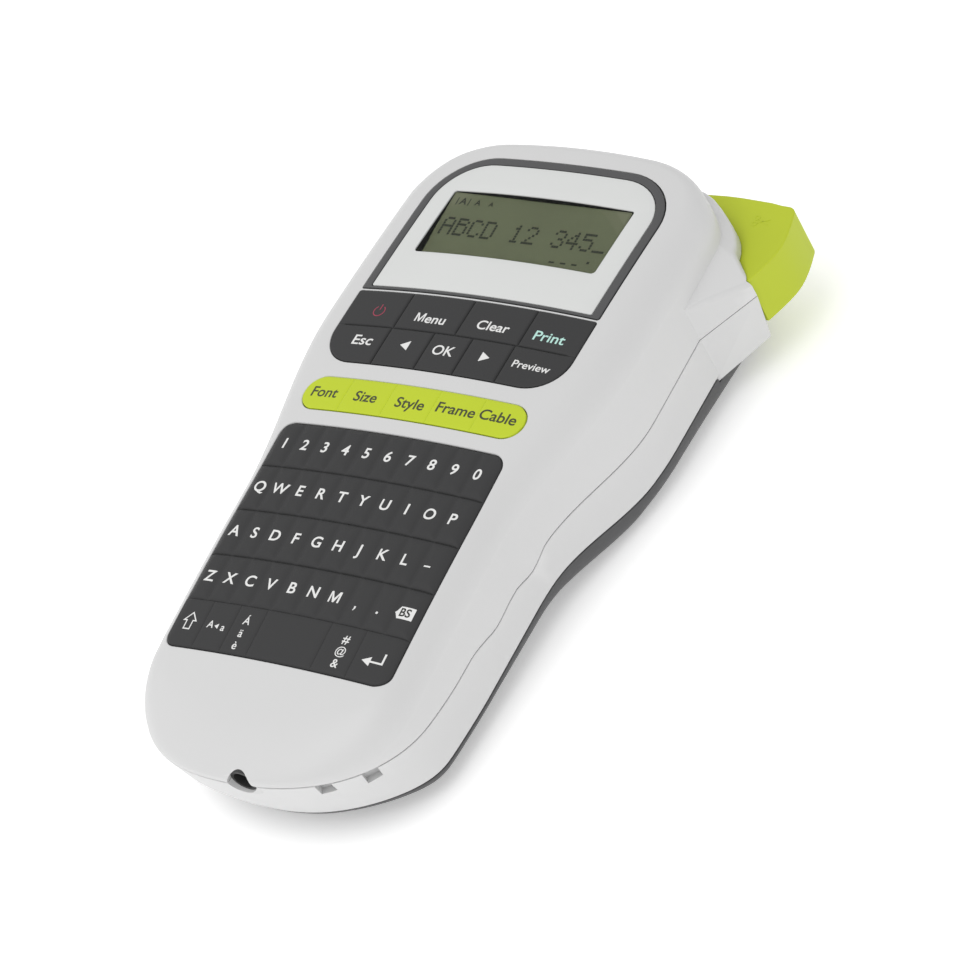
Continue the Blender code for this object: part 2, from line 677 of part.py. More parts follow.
def make_lever():
    """Cutter lever: a C-section arm that turns on a pin inside the wing."""
    hx, hy = LEVER_HINGE
    plan = [(x - hx, y - hy) for x, y in lever_plan()]
    lever = node("cutter_lever", prism_mesh("cutter_lever", plan, LEVER_BACK_Z, LEVER_FRONT_Z),
                 "lever_green", (hx, hy, 0.0))
    pocket_plan = [(20.0, 113.4), (56.6, 113.0), (59.1, 105.0), (59.4, 98.0), (57.3, 92.4),
                   (50.0, 91.0), (40.0, 91.0), (20.0, 104.0)]
    boolean(lever, cutter("lever_pocket", prism_mesh(
        "lever_pocket", pocket_plan, LEVER_BACK_Z + 2.0, LEVER_FRONT_Z - 2.0)))
    bore = tube_mesh("lever_bore", LEVER_PIN_R + 0.05, LEVER_BACK_Z - 2.0, LEVER_FRONT_Z + 2.0, sides=20)
    boolean(lever, cutter("lever_bore", bore, (hx, hy, 0.0)))
    node("lever_pin", tube_mesh("lever_pin", LEVER_PIN_R, LEVER_BACK_Z + 0.1, LEVER_FRONT_Z - 0.1, sides=20),
         "steel", (hx, hy, 0.0), True)
    blade = box_mesh("cutter_blade", (22.0, 106.4, LEVER_BACK_Z + 2.6), (35.0, 107.0, LEVER_FRONT_Z - 2.6))
    for vertex in blade.vertices:
        vertex.co.x -= hx
        vertex.co.y -= hy
    node("cutter_blade", blade, "steel", (hx, hy, 0.0))


def make_spring():
    """Return spring of the lever, from the mechanism frame's post to the lever's outer wall."""
    turns, steps, radius = 4, 10, 2.6
    start, length = Vector((47.4, 98.0, -33.2)), 11.1
    path = bpy.data.curves.new("lever_spring", "CURVE")
    path.dimensions = "3D"
    path.bevel_depth = 0.3 * MM
    path.bevel_resolution = 1
    path.use_fill_caps = True
    coil = path.splines.new("POLY")
    coil.points.add(turns * steps)
    for k in range(turns * steps + 1):
        angle = 2.0 * math.pi * k / steps
        along = start.x + length * k / (turns * steps)
        place = Vector((along, start.y + radius * math.cos(angle), start.z + radius * math.sin(angle)))
        coil.points[k].co = (*(place * MM), 1.0)
    path.materials.append(material("lever_spring", "steel"))
    made = bpy.data.objects.new("lever_spring", path)
    parts.objects.link(made)
    made.parent = rest_tilt


# ---------------------------------------------------------------- drive train

def gear_points(teeth):
    """Outline of a spur gear with trapezoid teeth, a tooth centred on +x."""
    pitch_r = 0.5 * GEAR_MODULE * teeth
    root, tip = pitch_r - 1.15 * GEAR_MODULE, pitch_r + 0.85 * GEAR_MODULE
    step = 2.0 * math.pi / teeth
    points = []
    for tooth in range(teeth):
        for offset, radius in ((-0.30, root), (-0.11, tip), (0.11, tip), (0.30, root)):
            angle = (tooth + offset) * step
            points.append((radius * math.cos(angle), radius * math.sin(angle)))
    return points


def turned_plan(points, angle_deg):
    turn = math.radians(angle_deg)
    c, s = math.cos(turn), math.sin(turn)
    return [(x * c - y * s, x * s + y * c) for x, y in points]


def bearing(start, end):
    return math.degrees(math.atan2(end[1] - start[1], end[0] - start[0]))


def place_from(start, distance, angle_deg):
    turn = math.radians(angle_deg)
    return (start[0] + distance * math.cos(turn), start[1] + distance * math.sin(turn))


def mesh_angle(own, other, other_phase, own_teeth, other_teeth):
    """Phase that puts a space of this gear opposite a tooth of its neighbour."""
    towards_own = bearing(other, own)
    lag = ((towards_own - other_phase) / (360.0 / other_teeth)) % 1.0
    return bearing(own, other) + (0.5 + lag) * 360.0 / own_teeth


PLATEN_TEETH = 24
IDLER_TEETH = 30
SMALL_TEETH = 12
LARGE_TEETH = 34
PINION_TEETH = 10
LAYER_A = (-49.0, -46.9)
LAYER_B = (-51.6, -49.4)


def pitch_distance(first, second):
    return 0.5 * GEAR_MODULE * (first + second) + 0.08


IDLER_XY = place_from(PLATEN_XY, pitch_distance(PLATEN_TEETH, IDLER_TEETH), 178.0)
COMPOUND_XY = place_from(IDLER_XY, pitch_distance(IDLER_TEETH, SMALL_TEETH), 178.0)
MOTOR_XY = place_from(COMPOUND_XY, pitch_distance(LARGE_TEETH, PINION_TEETH), 179.0)


def gear_node(name, teeth, layer, place, phase, bore_r, look="gear_white"):
    plan = turned_plan(gear_points(teeth), phase)
    made = node(name, prism_mesh(name, plan, *layer), look, (*place, 0.0))
    if bore_r:
        hole = tube_mesh(name + "_bore", bore_r, layer[0] - 3.0, layer[1] + 6.0, sides=20)
        boolean(made, cutter(name + "_bore", hole, (*place, 0.0)))
    return made


def make_drive():
    """Motor, its pinion, a compound gear, an idler and the platen's own gear."""
    platen_phase = 0.0
    idler_phase = mesh_angle(IDLER_XY, PLATEN_XY, platen_phase, IDLER_TEETH, PLATEN_TEETH)
    compound_phase = mesh_angle(COMPOUND_XY, IDLER_XY, idler_phase, SMALL_TEETH, IDLER_TEETH)
    pinion_phase = mesh_angle(MOTOR_XY, COMPOUND_XY, compound_phase, PINION_TEETH, LARGE_TEETH)
    shaft_top = PLATE_Z - PLATE_THICKNESS - GAP
    stud_r = 1.2

    plate = [(-36.5, 86.8), (23.5, 86.8), (23.5, 104.5), (12.0, 108.0), (-31.0, 108.0), (-36.5, 102.0)]
    plate_mesh = prism_mesh("mechanism_frame", plate, PLATE_Z - PLATE_THICKNESS, PLATE_Z)
    frame = node("mechanism_frame", plate_mesh, "steel")
    for name, place in (("idler_stud", IDLER_XY), ("compound_stud", COMPOUND_XY)):
        stud = tube_mesh(name, stud_r, LAYER_B[0] - 0.6, PLATE_Z - 0.5, sides=20)
        boolean(frame, cutter(name, stud, (*place, 0.0)), "UNION")
    for name, place, radius in (("platen_hole", PLATEN_XY, 1.9), ("motor_hole", MOTOR_XY, 3.8)):
        hole = tube_mesh(name, radius, PLATE_Z - 4.0, PLATE_Z + 2.0, sides=20)
        boolean(frame, cutter(name, hole, (*place, 0.0)))

    gear_node("idler_gear", IDLER_TEETH, LAYER_B, IDLER_XY, idler_phase, stud_r + 0.06)
    compound = gear_node("compound_gear", LARGE_TEETH, LAYER_A, COMPOUND_XY, compound_phase, 0.0)
    small_plan = turned_plan(gear_points(SMALL_TEETH), compound_phase)
    small = cutter("compound_small", prism_mesh("compound_small", small_plan, LAYER_B[0], LAYER_A[0] + 0.4),
                   (*COMPOUND_XY, 0.0))
    boolean(compound, small, "UNION")
    bore = tube_mesh("compound_bore", stud_r + 0.06, LAYER_B[0] - 3.0, LAYER_A[1] + 3.0, sides=20)
    boolean(compound, cutter("compound_bore", bore, (*COMPOUND_XY, 0.0)))
    gear_node("motor_pinion", PINION_TEETH, LAYER_A, MOTOR_XY, pinion_phase, 0.0, "brass")

    motor_profile = [
        (3.2, shaft_top + 0.7), (3.2, PLATE_Z + GAP), (9.6, PLATE_Z + GAP), (9.6, -27.0), (4.0, -27.0)]
    node("drive_motor", turned_mesh("drive_motor", motor_profile, 28), "steel", (*MOTOR_XY, 0.0), True)

    roller_profile = [
        (1.6, LAYER_B[1] + GAP), (1.6, -43.8), (4.5, -43.8), (4.5, -27.2), (1.6, -27.2), (1.6, -25.6)]
    node("platen_roller", turned_mesh("platen_roller", roller_profile, 28), "rubber", (*PLATEN_XY, 0.0), True)
    gear_node("platen_gear", PLATEN_TEETH, LAYER_B, PLATEN_XY, platen_phase, 0.0)
    node("print_head", box_mesh("print_head", (TAPE_X + 0.4, 88.6, -44.4), (TAPE_X + 2.9, 101.0, -26.4), 0.3),
         "steel")


def make_cassette():
    """Tape cassette in the bay under the head, with its tape roll and ribbon spool."""
    z_high, z_low = CASSETTE_Z
    y_low, y_high = CASSETTE_Y
    plan = []
    for cx, cy, start in ((1, 1, 0), (-1, 1, 90), (-1, -1, 180), (1, -1, 270)):
        corner_x = cx * (CASSETTE_HALF_X - 5.0)
        corner_y = y_high - 5.0 if cy > 0 else y_low + 5.0
        plan += arc((corner_x, corner_y), 5.0, start, start + 90, 4)
    case = node("cassette_case", prism_mesh("cassette_case", plan, z_low, z_high), "cassette_grey")
    centre_y = 0.5 * (y_low + y_high)
    scale = 1.0 - 3.0 / (2.0 * CASSETTE_HALF_X)
    hollow = [(x * scale, centre_y + (y - centre_y) * (1.0 - 3.0 / (y_high - y_low))) for x, y in plan]
    boolean(case, cutter("cassette_hollow", prism_mesh("cassette_hollow", hollow, z_low + 1.4, z_high - 1.4)))
    exit_low = (TAPE_X - 4.0, y_high - 4.0, z_low + 2.0)
    exit_window = box_mesh("tape_exit", exit_low, (TAPE_X + 4.0, y_high + 4.0, z_high - 2.0))
    boolean(case, cutter("tape_exit", exit_window))
    for name, place in (("tape_hub", TAPE_ROLL_XY), ("ribbon_hub", RIBBON_XY)):
        hub = tube_mesh(name, 3.0, z_low - 2.0, z_high + 2.0, sides=20)
        boolean(case, cutter(name, hub, (*place, 0.0)))
    roll_z = (z_low + 2.0, z_high - 2.0)
    node("tape_roll", tube_mesh("tape_roll", 19.0, *roll_z, bore=8.0, sides=40), "tape_white",
         (*TAPE_ROLL_XY, 0.0), True)
    node("ribbon_spool", tube_mesh("ribbon_spool", 8.5, *roll_z, bore=3.0, sides=28), "black",
         (*RIBBON_XY, 0.0), True)


TAPE_ROLL_XY = (-19.0, 58.0)
RIBBON_XY = (16.0, 62.0)


# ---------------------------------------------------------------- power, board and screws

def make_power():
    for index in range(6):
        x = (index - 2.5) * CELL_PITCH
        cap = 1.9
        low, high = -0.5 * CELL_LENGTH, 0.5 * CELL_LENGTH
        profile = [(CELL_R, low), (CELL_R, high - 1.2), (cap, high - 1.2), (cap, high)]
        mesh = turned_mesh(f"battery_cell_{index + 1}", profile, 20)
        facing = -90.0 if index % 2 == 0 else 90.0
        mesh.transform(Matrix.Rotation(math.radians(facing), 4, "X"))
        node(f"battery_cell_{index + 1}", mesh, "cell_label", (x, CELL_Y, CELL_Z), True)
    reach = 3.0 * CELL_PITCH
    for name, side in (("battery_contact_low", -1), ("battery_contact_high", 1)):
        near = CELL_Y + side * (0.5 * CELL_LENGTH + GAP)
        far = near + side * 0.5
        y_low, y_high = min(near, far), max(near, far)
        node(name, box_mesh(name, (-reach, y_low, CELL_Z - 4.2), (reach, y_high, CELL_Z + 4.2)), "steel")


def make_electronics():
    node("main_board", box_mesh("main_board", (-33.0, -58.0, -13.6), (33.0, 60.0, -12.0)), "board_green")
    jack_y = LOW_END_Y + 11.5
    body = box_mesh("dc_jack", (JACK_X - 4.6, jack_y, -16.4), (JACK_X + 4.6, jack_y + 12.5, -8.7), 0.5)
    jack = node("dc_jack", body, "black")
    bore = tube_mesh("jack_bore", 2.8, -10.0, 10.0, sides=24)
    bore.transform(Matrix.Rotation(math.radians(90.0), 4, "X"))
    boolean(jack, cutter("jack_bore", bore, (JACK_X, jack_y - 1.0, JACK_Z)))


def make_screws():
    """Case screws that hold the rear housing, under the cover."""
    for index, (x, y) in enumerate(((-24.0, -70.0), (24.0, -70.0), (-38.0, 26.0), (38.0, 26.0))):
        x = math.copysign(min(abs(x), half_width(y) - TUB_INSET - 3.4), x)
        profile = [(2.6, FLOOR_LOW_Z - 2.2), (2.6, FLOOR_LOW_Z - GAP)]
        node(f"case_screw_{index + 1}", turned_mesh(f"case_screw_{index + 1}", profile, 16), "steel", (x, y, 0.0))


def make_housings():
    front = node("front_housing", front_housing_mesh(), "white_shell", smooth_shade=True)
    rear = node("rear_housing", rear_housing_mesh(), "white_shell", smooth_shade=True)
    cover = node("back_cover", cover_mesh(), "grey_cover", smooth_shade=True)
    boolean(front, cutter("wing_upper", wing_mesh("wing_upper", PARTING_HEAD_Z)), "UNION")
    boolean(rear, cutter("wing_lower", wing_mesh(
        "wing_lower", WING_LOW_Z, PARTING_HEAD_Z - GAP)), "UNION")
    boolean(cover, cutter("wing_clearance", wing_mesh(
        "wing_clearance", WING_LOW_Z - GAP, PARTING_HEAD_Z, GAP)))
    slot = cutter("lever_slot", slot_mesh())
    boolean(front, slot)
    boolean(rear, slot)
    openings = {"keys": KEYS_SPANS, "pill": PILL_SPANS, "nav": NAV_SPANS, "panel": PANEL_SPANS}
    for name, spans in openings.items():
        boolean(front, opening(name + "_opening", spans))
    for x, y in NOTCHES:
        level = parting_z(y)
        low = (x - 0.5 * NOTCH_WIDTH, y - 4.0, level - NOTCH_DROP)
        high = (x + 0.5 * NOTCH_WIDTH, y + 1.5, level + 2.0)
        boolean(rear, cutter(f"notch_{x:.0f}", box_mesh("notch", low, high)))
    hole = tube_mesh("jack_hole", JACK_HOLE_R, -9.0, 9.0, sides=28)
    hole.transform(Matrix.Rotation(math.radians(90.0), 4, "X"))
    jack_hole = cutter("jack_hole", hole, (JACK_X, LOW_END_Y + 1.5, JACK_Z))
    boolean(front, jack_hole)
    boolean(rear, jack_hole)


make_housings()
make_display()
make_keys()
make_lever()
make_spring()
make_drive()
make_cassette()
make_power()
make_electronics()
make_screws()
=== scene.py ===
"""Handheld label maker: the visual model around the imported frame.

Lengths are millimetres in the device frame (x right, y to the display end, z out of the keys)
until place() lays a piece on its back in the row frame, in metres.
"""

import json
import math

import bmesh
import bpy
from mathutils import Matrix, Vector
from mathutils.geometry import delaunay_2d_cdt
from mathutils.kdtree import KDTree


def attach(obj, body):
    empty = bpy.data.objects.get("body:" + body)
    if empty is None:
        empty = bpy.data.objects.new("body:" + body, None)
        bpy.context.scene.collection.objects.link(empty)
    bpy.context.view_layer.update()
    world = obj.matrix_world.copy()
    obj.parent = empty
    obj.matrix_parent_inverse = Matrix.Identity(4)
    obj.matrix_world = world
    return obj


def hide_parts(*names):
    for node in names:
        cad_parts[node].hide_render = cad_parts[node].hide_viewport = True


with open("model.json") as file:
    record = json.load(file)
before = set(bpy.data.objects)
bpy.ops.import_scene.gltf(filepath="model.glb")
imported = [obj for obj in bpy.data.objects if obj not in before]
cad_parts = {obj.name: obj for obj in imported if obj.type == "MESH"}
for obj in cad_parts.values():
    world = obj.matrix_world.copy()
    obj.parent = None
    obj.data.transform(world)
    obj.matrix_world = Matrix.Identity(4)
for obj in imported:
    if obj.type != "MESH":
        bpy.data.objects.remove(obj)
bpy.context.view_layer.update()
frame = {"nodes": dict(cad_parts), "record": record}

# ---------------------------------------------------------------- dimensions

GRIP_W, HEAD_W = 40.7, 49.2
LOW_END, LOW_ARC, LOW_POWER = -95.0, -62.0, 2.25
TOP_END, TOP_CORNER, TOP_RX = 113.6, 91.3, 26.0
WALL = 2.2
TILT = 5.5
REST_Y = 65.0
LEVER_Z = (-41.2, -25.0)
PROUD = 0.3
KEYS_X, KEYS_LOW, KEYS_HIGH = 35.6, -63.6, 7.2
ROW_PITCH, COLUMN_PITCH = 14.22, 7.12
BOTTOM_ROW_HIGH = KEYS_HIGH - 4.0 * ROW_PITCH


def smooth(value, start, end):
    t = min(max((value - start) / (end - start), 0.0), 1.0)
    return t * t * (3.0 - 2.0 * t)


def hump(value, centre, half_length):
    return max(1.0 - ((value - centre) / half_length) ** 2, 0.0) ** 2


def front_z(x, y):
    return -0.0015 * x * x - 0.000585 * (y - 10.0) ** 2


def half_width(y):
    return GRIP_W + (HEAD_W - GRIP_W) * smooth(y, -14.0, 46.0)


def parting_z(y):
    rise = 5.2 * smooth(-y, -42.0, 0.0) + 2.2 * smooth(-y, 28.0, 41.0)
    waves = 1.9 * hump(y, -9.0, 8.0) + 0.5 * hump(y, -27.0, 7.0)
    return -30.3 + rise - waves + 11.2 * min(max((-46.0 - y) / 49.0, 0.0), 1.0) ** 1.7


def seam_z(y):
    head = -7.2 * smooth(y, -6.0, 36.0) - 0.022 * max(y - 36.0, 0.0)
    return -36.9 + head + 5.9 * min(max((-42.0 - y) / 53.0, 0.0), 1.0) ** 1.5


def undercut(y, z):
    return (6.5 * smooth(-z, 14.0, 36.0) + 5.0 * smooth(-z, 30.0, 44.0)) * smooth(-y, 58.0, 92.0)


def back_z(x, y):
    flat = -51.8 - math.tan(math.radians(TILT)) * (y - 30.0)
    grip = -43.4 - 0.07 * (y + 12.0) - 5.6 * smooth(y, -14.0, 30.0)
    crown = 2.4 * max(1.0 - (x / 34.0) ** 2, 0.0) * (1.0 - smooth(y, -5.0, 28.0))
    blend = smooth(y, 26.0, 34.0)
    return (grip - crown) * (1.0 - blend) + flat * blend


tilt = Matrix.Rotation(math.radians(TILT), 4, "X")
REST = Matrix.Translation(-(tilt @ (Vector((0.0, REST_Y, back_z(0.0, REST_Y))) * 0.001))) @ tilt

# ---------------------------------------------------------------- materials


def moulded(name, colour, rough, grain=0.04, grain_mm=0.35, vary=0.05, edge=0.12, specular=0.5,
            metallic=0.0, coat=0.0, sub=0.0):
    """Moulded surface: fine grain bump, slow colour drift, worn edges and uneven gloss."""
    made = bpy.data.materials.new(name)
    made.use_nodes = True
    tree = made.node_tree
    shader = tree.nodes["Principled BSDF"]
    shader.inputs["Metallic"].default_value = metallic
    shader.inputs["Specular IOR Level"].default_value = specular
    shader.inputs["Coat Weight"].default_value = coat
    shader.inputs["Coat Roughness"].default_value = 0.15
    shader.inputs["Subsurface Weight"].default_value = sub
    shader.inputs["Subsurface Radius"].default_value = (0.002, 0.002, 0.002)
    shader.inputs["Subsurface Scale"].default_value = 0.6

    def add(kind, **values):
        made_node = tree.nodes.new(kind)
        for key, value in values.items():
            setattr(made_node, key, value)
        return made_node

    place_node = add("ShaderNodeTexCoord")
    drift = add("ShaderNodeTexNoise")
    drift.inputs["Scale"].default_value = 38.0
    drift.inputs["Detail"].default_value = 3.0
    fine = add("ShaderNodeTexNoise")
    fine.inputs["Scale"].default_value = 1.0 / (grain_mm * 0.001)
    fine.inputs["Detail"].default_value = 2.0
    for texture in (drift, fine):
        tree.links.new(place_node.outputs["Object"], texture.inputs["Vector"])

    shades = add("ShaderNodeMix", data_type="RGBA")
    darker = [channel * (1.0 - vary) for channel in colour]
    lighter = [min(channel * (1.0 + vary), 1.0) for channel in colour]
    shades.inputs["A"].default_value = (*darker, 1.0)
    shades.inputs["B"].default_value = (*lighter, 1.0)
    tree.links.new(drift.outputs["Fac"], shades.inputs["Factor"])

    geometry = add("ShaderNodeNewGeometry")
    worn = add("ShaderNodeMapRange")
    worn.inputs["From Min"].default_value = 0.53
    worn.inputs["From Max"].default_value = 0.62
    worn.inputs["To Max"].default_value = edge
    tree.links.new(geometry.outputs["Pointiness"], worn.inputs["Value"])
    rubbed = add("ShaderNodeMix", data_type="RGBA")
    rubbed.inputs["B"].default_value = (*[min(c * 1.35 + 0.03, 1.0) for c in colour], 1.0)
    tree.links.new(worn.outputs["Result"], rubbed.inputs["Factor"])
    tree.links.new(shades.outputs["Result"], rubbed.inputs["A"])
    tree.links.new(rubbed.outputs["Result"], shader.inputs["Base Color"])

    gloss = add("ShaderNodeMapRange")
    gloss.inputs["To Min"].default_value = rough - 0.05
    gloss.inputs["To Max"].default_value = rough + 0.06
    tree.links.new(drift.outputs["Fac"], gloss.inputs["Value"])
    tree.links.new(gloss.outputs["Result"], shader.inputs["Roughness"])

    bump = add("ShaderNodeBump")
    bump.inputs["Strength"].default_value = grain
    bump.inputs["Distance"].default_value = 0.0002
    tree.links.new(fine.outputs["Fac"], bump.inputs["Height"])
    tree.links.new(bump.outputs["Normal"], shader.inputs["Normal"])
    return made


def clear_window(name):
    made = bpy.data.materials.new(name)
    made.use_nodes = True
    tree = made.node_tree
    shader = tree.nodes["Principled BSDF"]
    shader.inputs["Base Color"].default_value = (0.93, 0.95, 0.92, 1.0)
    shader.inputs["Transmission Weight"].default_value = 1.0
    shader.inputs["IOR"].default_value = 1.03
    shader.inputs["Specular IOR Level"].default_value = 0.15
    haze = tree.nodes.new("ShaderNodeTexNoise")
    haze.inputs["Scale"].default_value = 90.0
    spread = tree.nodes.new("ShaderNodeMapRange")
    spread.inputs["To Min"].default_value = 0.02
    spread.inputs["To Max"].default_value = 0.06
    tree.links.new(haze.outputs["Fac"], spread.inputs["Value"])
    tree.links.new(spread.outputs["Result"], shader.inputs["Roughness"])
    return made


LOOKS = {
    "white_shell": moulded("white_shell", (0.66, 0.66, 0.66), 0.42, 0.05, 0.3, 0.012, 0.15, 0.42),
    "grey_cover": moulded("grey_cover", (0.070, 0.070, 0.072), 0.52, 0.14, 0.28, 0.06, 0.2),
    "key_grey": moulded("key_grey", (0.041, 0.041, 0.042), 0.6, 0.08, 0.22, 0.06, 0.06, 0.25),
    "key_green": moulded("key_green", (0.53, 0.64, 0.03), 0.5, 0.06, 0.22, 0.03, 0.08, 0.25),
    "lever_green": moulded("lever_green", (0.50, 0.585, 0.035), 0.5, 0.10, 0.3, 0.04, 0.08, 0.25),
    "frame_grey": moulded("frame_grey", (0.085, 0.085, 0.087), 0.5, 0.04, 0.3, 0.05, 0.1, 0.35),
    "panel_white": moulded("panel_white", (0.70, 0.71, 0.70), 0.48, 0.03, 0.4, 0.02, 0.1, 0.3),
    "lcd_olive": moulded("lcd_olive", (0.155, 0.168, 0.108), 0.6, 0.015, 0.5, 0.08, 0.0, 0.15),
    "board_green": moulded("board_green", (0.03, 0.16, 0.07), 0.5, 0.2, 0.8, 0.15, 0.3),
    "black_plastic": moulded("black_plastic", (0.022, 0.022, 0.022), 0.48, 0.08, 0.3, 0.1, 0.2),
    "steel": moulded("steel", (0.55, 0.56, 0.58), 0.30, 0.10, 0.15, 0.06, 0.2, metallic=1.0),
    "brass": moulded("brass", (0.62, 0.48, 0.20), 0.33, 0.08, 0.15, 0.07, 0.2, metallic=1.0),
    "gear_white": moulded("gear_white", (0.70, 0.68, 0.60), 0.45, 0.06, 0.3, 0.05, 0.1),
    "roller_rubber": moulded("roller_rubber", (0.035, 0.035, 0.037), 0.75, 0.2, 0.3, 0.12, 0.2),
    "cell_label": moulded("cell_label", (0.16, 0.18, 0.22), 0.32, 0.03, 0.5, 0.12, 0.3, coat=0.3),
    "cassette_grey": moulded("cassette_grey", (0.29, 0.30, 0.32), 0.40, 0.08, 0.3, 0.05, 0.2),
    "tape_white": moulded("tape_white", (0.82, 0.82, 0.79), 0.5, 0.15, 0.12, 0.04, 0.1),
    "window_clear": clear_window("window_clear"),
}
PRINT = {
    "white": moulded("print_white", (0.80, 0.80, 0.79), 0.5, 0.03, 0.3, 0.02, 0.0),
    "mint": moulded("print_mint", (0.50, 0.80, 0.72), 0.5, 0.03, 0.3, 0.02, 0.0),
    "red": moulded("print_red", (0.34, 0.035, 0.075), 0.5, 0.03, 0.3, 0.04, 0.0),
    "dark": moulded("print_dark", (0.045, 0.05, 0.02), 0.5, 0.03, 0.3, 0.04, 0.0),
    "lcd": moulded("print_lcd", (0.018, 0.020, 0.014), 0.6, 0.02, 0.3, 0.05, 0.0),
}

for entry in frame["record"]["subparts"]:
    cad = frame["nodes"][entry["node"]]
    cad.data.materials.clear()
    cad.data.materials.append(LOOKS[entry["material_slot"]])

# ---------------------------------------------------------------- mesh helpers


def place(name, work, body, look, stands_for=(), sharp=35.0, weighted=False):
    """Finish a bmesh in device millimetres as a piece that rides on a body."""
    mesh = bpy.data.meshes.new(name)
    work.to_mesh(mesh)
    work.free()
    mesh.transform(REST @ Matrix.Scale(0.001, 4))
    mesh.materials.append(look)
    mesh.shade_smooth()
    mesh.set_sharp_from_angle(angle=math.radians(sharp))
    made = bpy.data.objects.new(name, mesh)
    bpy.context.scene.collection.objects.link(made)
    if weighted:
        step = made.modifiers.new("even_shading", "WEIGHTED_NORMAL")
        step.keep_sharp = True
    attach(made, body)
    if stands_for:
        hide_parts(*stands_for)
    return made


def cut(work, tool, operation="DIFFERENCE"):
    """Boolean of two closed bmeshes; returns a new bmesh."""
    pair = []
    for source in (work, tool):
        bmesh.ops.recalc_face_normals(source, faces=source.faces)
        mesh = bpy.data.meshes.new("work")
        source.to_mesh(mesh)
        source.free()
        made = bpy.data.objects.new("work", mesh)
        bpy.context.scene.collection.objects.link(made)
        pair.append(made)
    step = pair[0].modifiers.new("cut", "BOOLEAN")
    step.operation = operation
    step.object = pair[1]
    step.solver = "EXACT"
    bpy.context.view_layer.update()
    evaluated = pair[0].evaluated_get(bpy.context.evaluated_depsgraph_get())
    mesh = bpy.data.meshes.new_from_object(evaluated)
    result = bmesh.new()
    result.from_mesh(mesh)
    for made in pair:
        bpy.data.objects.remove(made, do_unlink=True)
    bpy.data.meshes.remove(mesh)
    return result


def soften(work, inside, width, segments=2, angle=32.0):
    """Round the sharp edges whose middle lies where inside() is true."""
    bmesh.ops.remove_doubles(work, verts=work.verts, dist=0.01)
    edges = []
    for edge in work.edges:
        if len(edge.link_faces) != 2 or edge.calc_length() < 1e-6:
            continue
        middle = (edge.verts[0].co + edge.verts[1].co) / 2.0
        if inside(middle) and edge.calc_face_angle(0.0) > math.radians(angle):
            edges.append(edge)
    if edges:
        bmesh.ops.bevel(work, geom=edges, offset=width, segments=segments, profile=0.5,
                        affect="EDGES", clamp_overlap=True)


def prism(plan, z_low, z_high):
    work = bmesh.new()
    rings = [[work.verts.new((x, y, z)) for x, y in plan] for z in (z_low, z_high)]
    work.faces.new(rings[0][::-1])
    work.faces.new(rings[1])
    for step in range(len(plan)):
        ahead = (step + 1) % len(plan)
        work.faces.new((rings[0][step], rings[0][ahead], rings[1][ahead], rings[1][step]))
    bmesh.ops.recalc_face_normals(work, faces=work.faces)
    return work


def box(low, high):
    return prism([(low[0], low[1]), (high[0], low[1]), (high[0], high[1]), (low[0], high[1])],
                 low[2], high[2])


def arc(centre, radius, start, end, steps):
    angles = [math.radians(start + (end - start) * k / steps) for k in range(steps + 1)]
    return [(centre[0] + radius * math.cos(a), centre[1] + radius * math.sin(a)) for a in angles]


# ---------------------------------------------------------------- outline of the body


def half_outline(low=30, side=64, corner=30, top=10):
    points = []
    for k in range(low):
        t = 0.5 * math.pi * k / low
        points.append((GRIP_W * math.sin(t) ** (2.0 / LOW_POWER),
                       LOW_ARC - (LOW_ARC - LOW_END) * math.cos(t) ** (2.0 / LOW_POWER)))
    for k in range(side):
        y = LOW_ARC + (TOP_CORNER - LOW_ARC) * k / side
        points.append((half_width(y), y))
    for k in range(corner + 1):
        t = 0.5 * math.pi * k / corner
        points.append((HEAD_W - TOP_RX + TOP_RX * math.cos(t),
                       TOP_CORNER + (TOP_END - TOP_CORNER) * math.sin(t)))
    for k in range(1, top + 1):
        points.append(((HEAD_W - TOP_RX) * (1.0 - k / top), TOP_END))
    points = [(x, y - 0.0012 * x * x * smooth(y, 95.0, 110.0)) for x, y in points]
    normals = []
    for k in range(len(points)):
        before = points[k - 1] if k else (-points[1][0], points[1][1])
        after = points[k + 1] if k + 1 < len(points) else (-points[-2][0], points[-2][1])
        along = Vector((after[0] - before[0], after[1] - before[1])).normalized()
        normals.append((along.y, -along.x))
    return points, normals


HALF, NORMALS = half_outline()


def ring(inset, height):
    right = []
    for (x, y), (nx, ny) in zip(HALF, NORMALS):
        step_in = inset(y) if callable(inset) else inset
        px, py = max(x - nx * step_in, 0.0), y - ny * step_in
        level = height(px, py, y) if callable(height) else height
        right.append((px, py + undercut(py, level), level))
    return right + [(-x, y, z) for x, y, z in right[1:-1]][::-1]


def fillet_size(y):
    """Inset and drop of the front fillet: tight round the display end, wide at the low end."""
    drop = 8.0 - 4.4 * smooth(y, 97.0, 109.0)
    return drop + 8.0 * smooth(-y, 66.0, 92.0), drop


def fillet(angle, extra=0.0):
    turn = math.radians(angle)

    def inset(y):
        return extra + fillet_size(y)[0] * (1.0 - math.sin(turn))

    def height(x, y, outline_y):
        start = front_z(x, y) - extra
        drop = min(fillet_size(outline_y)[1], start - parting_z(outline_y) - 0.8)
        return start - drop * (1.0 - math.cos(turn))

    return inset, height


EDGE = KDTree(len(HALF))
for edge_index, edge_point in enumerate(HALF):
    EDGE.insert((*edge_point, 0.0), edge_index)
EDGE.balance()


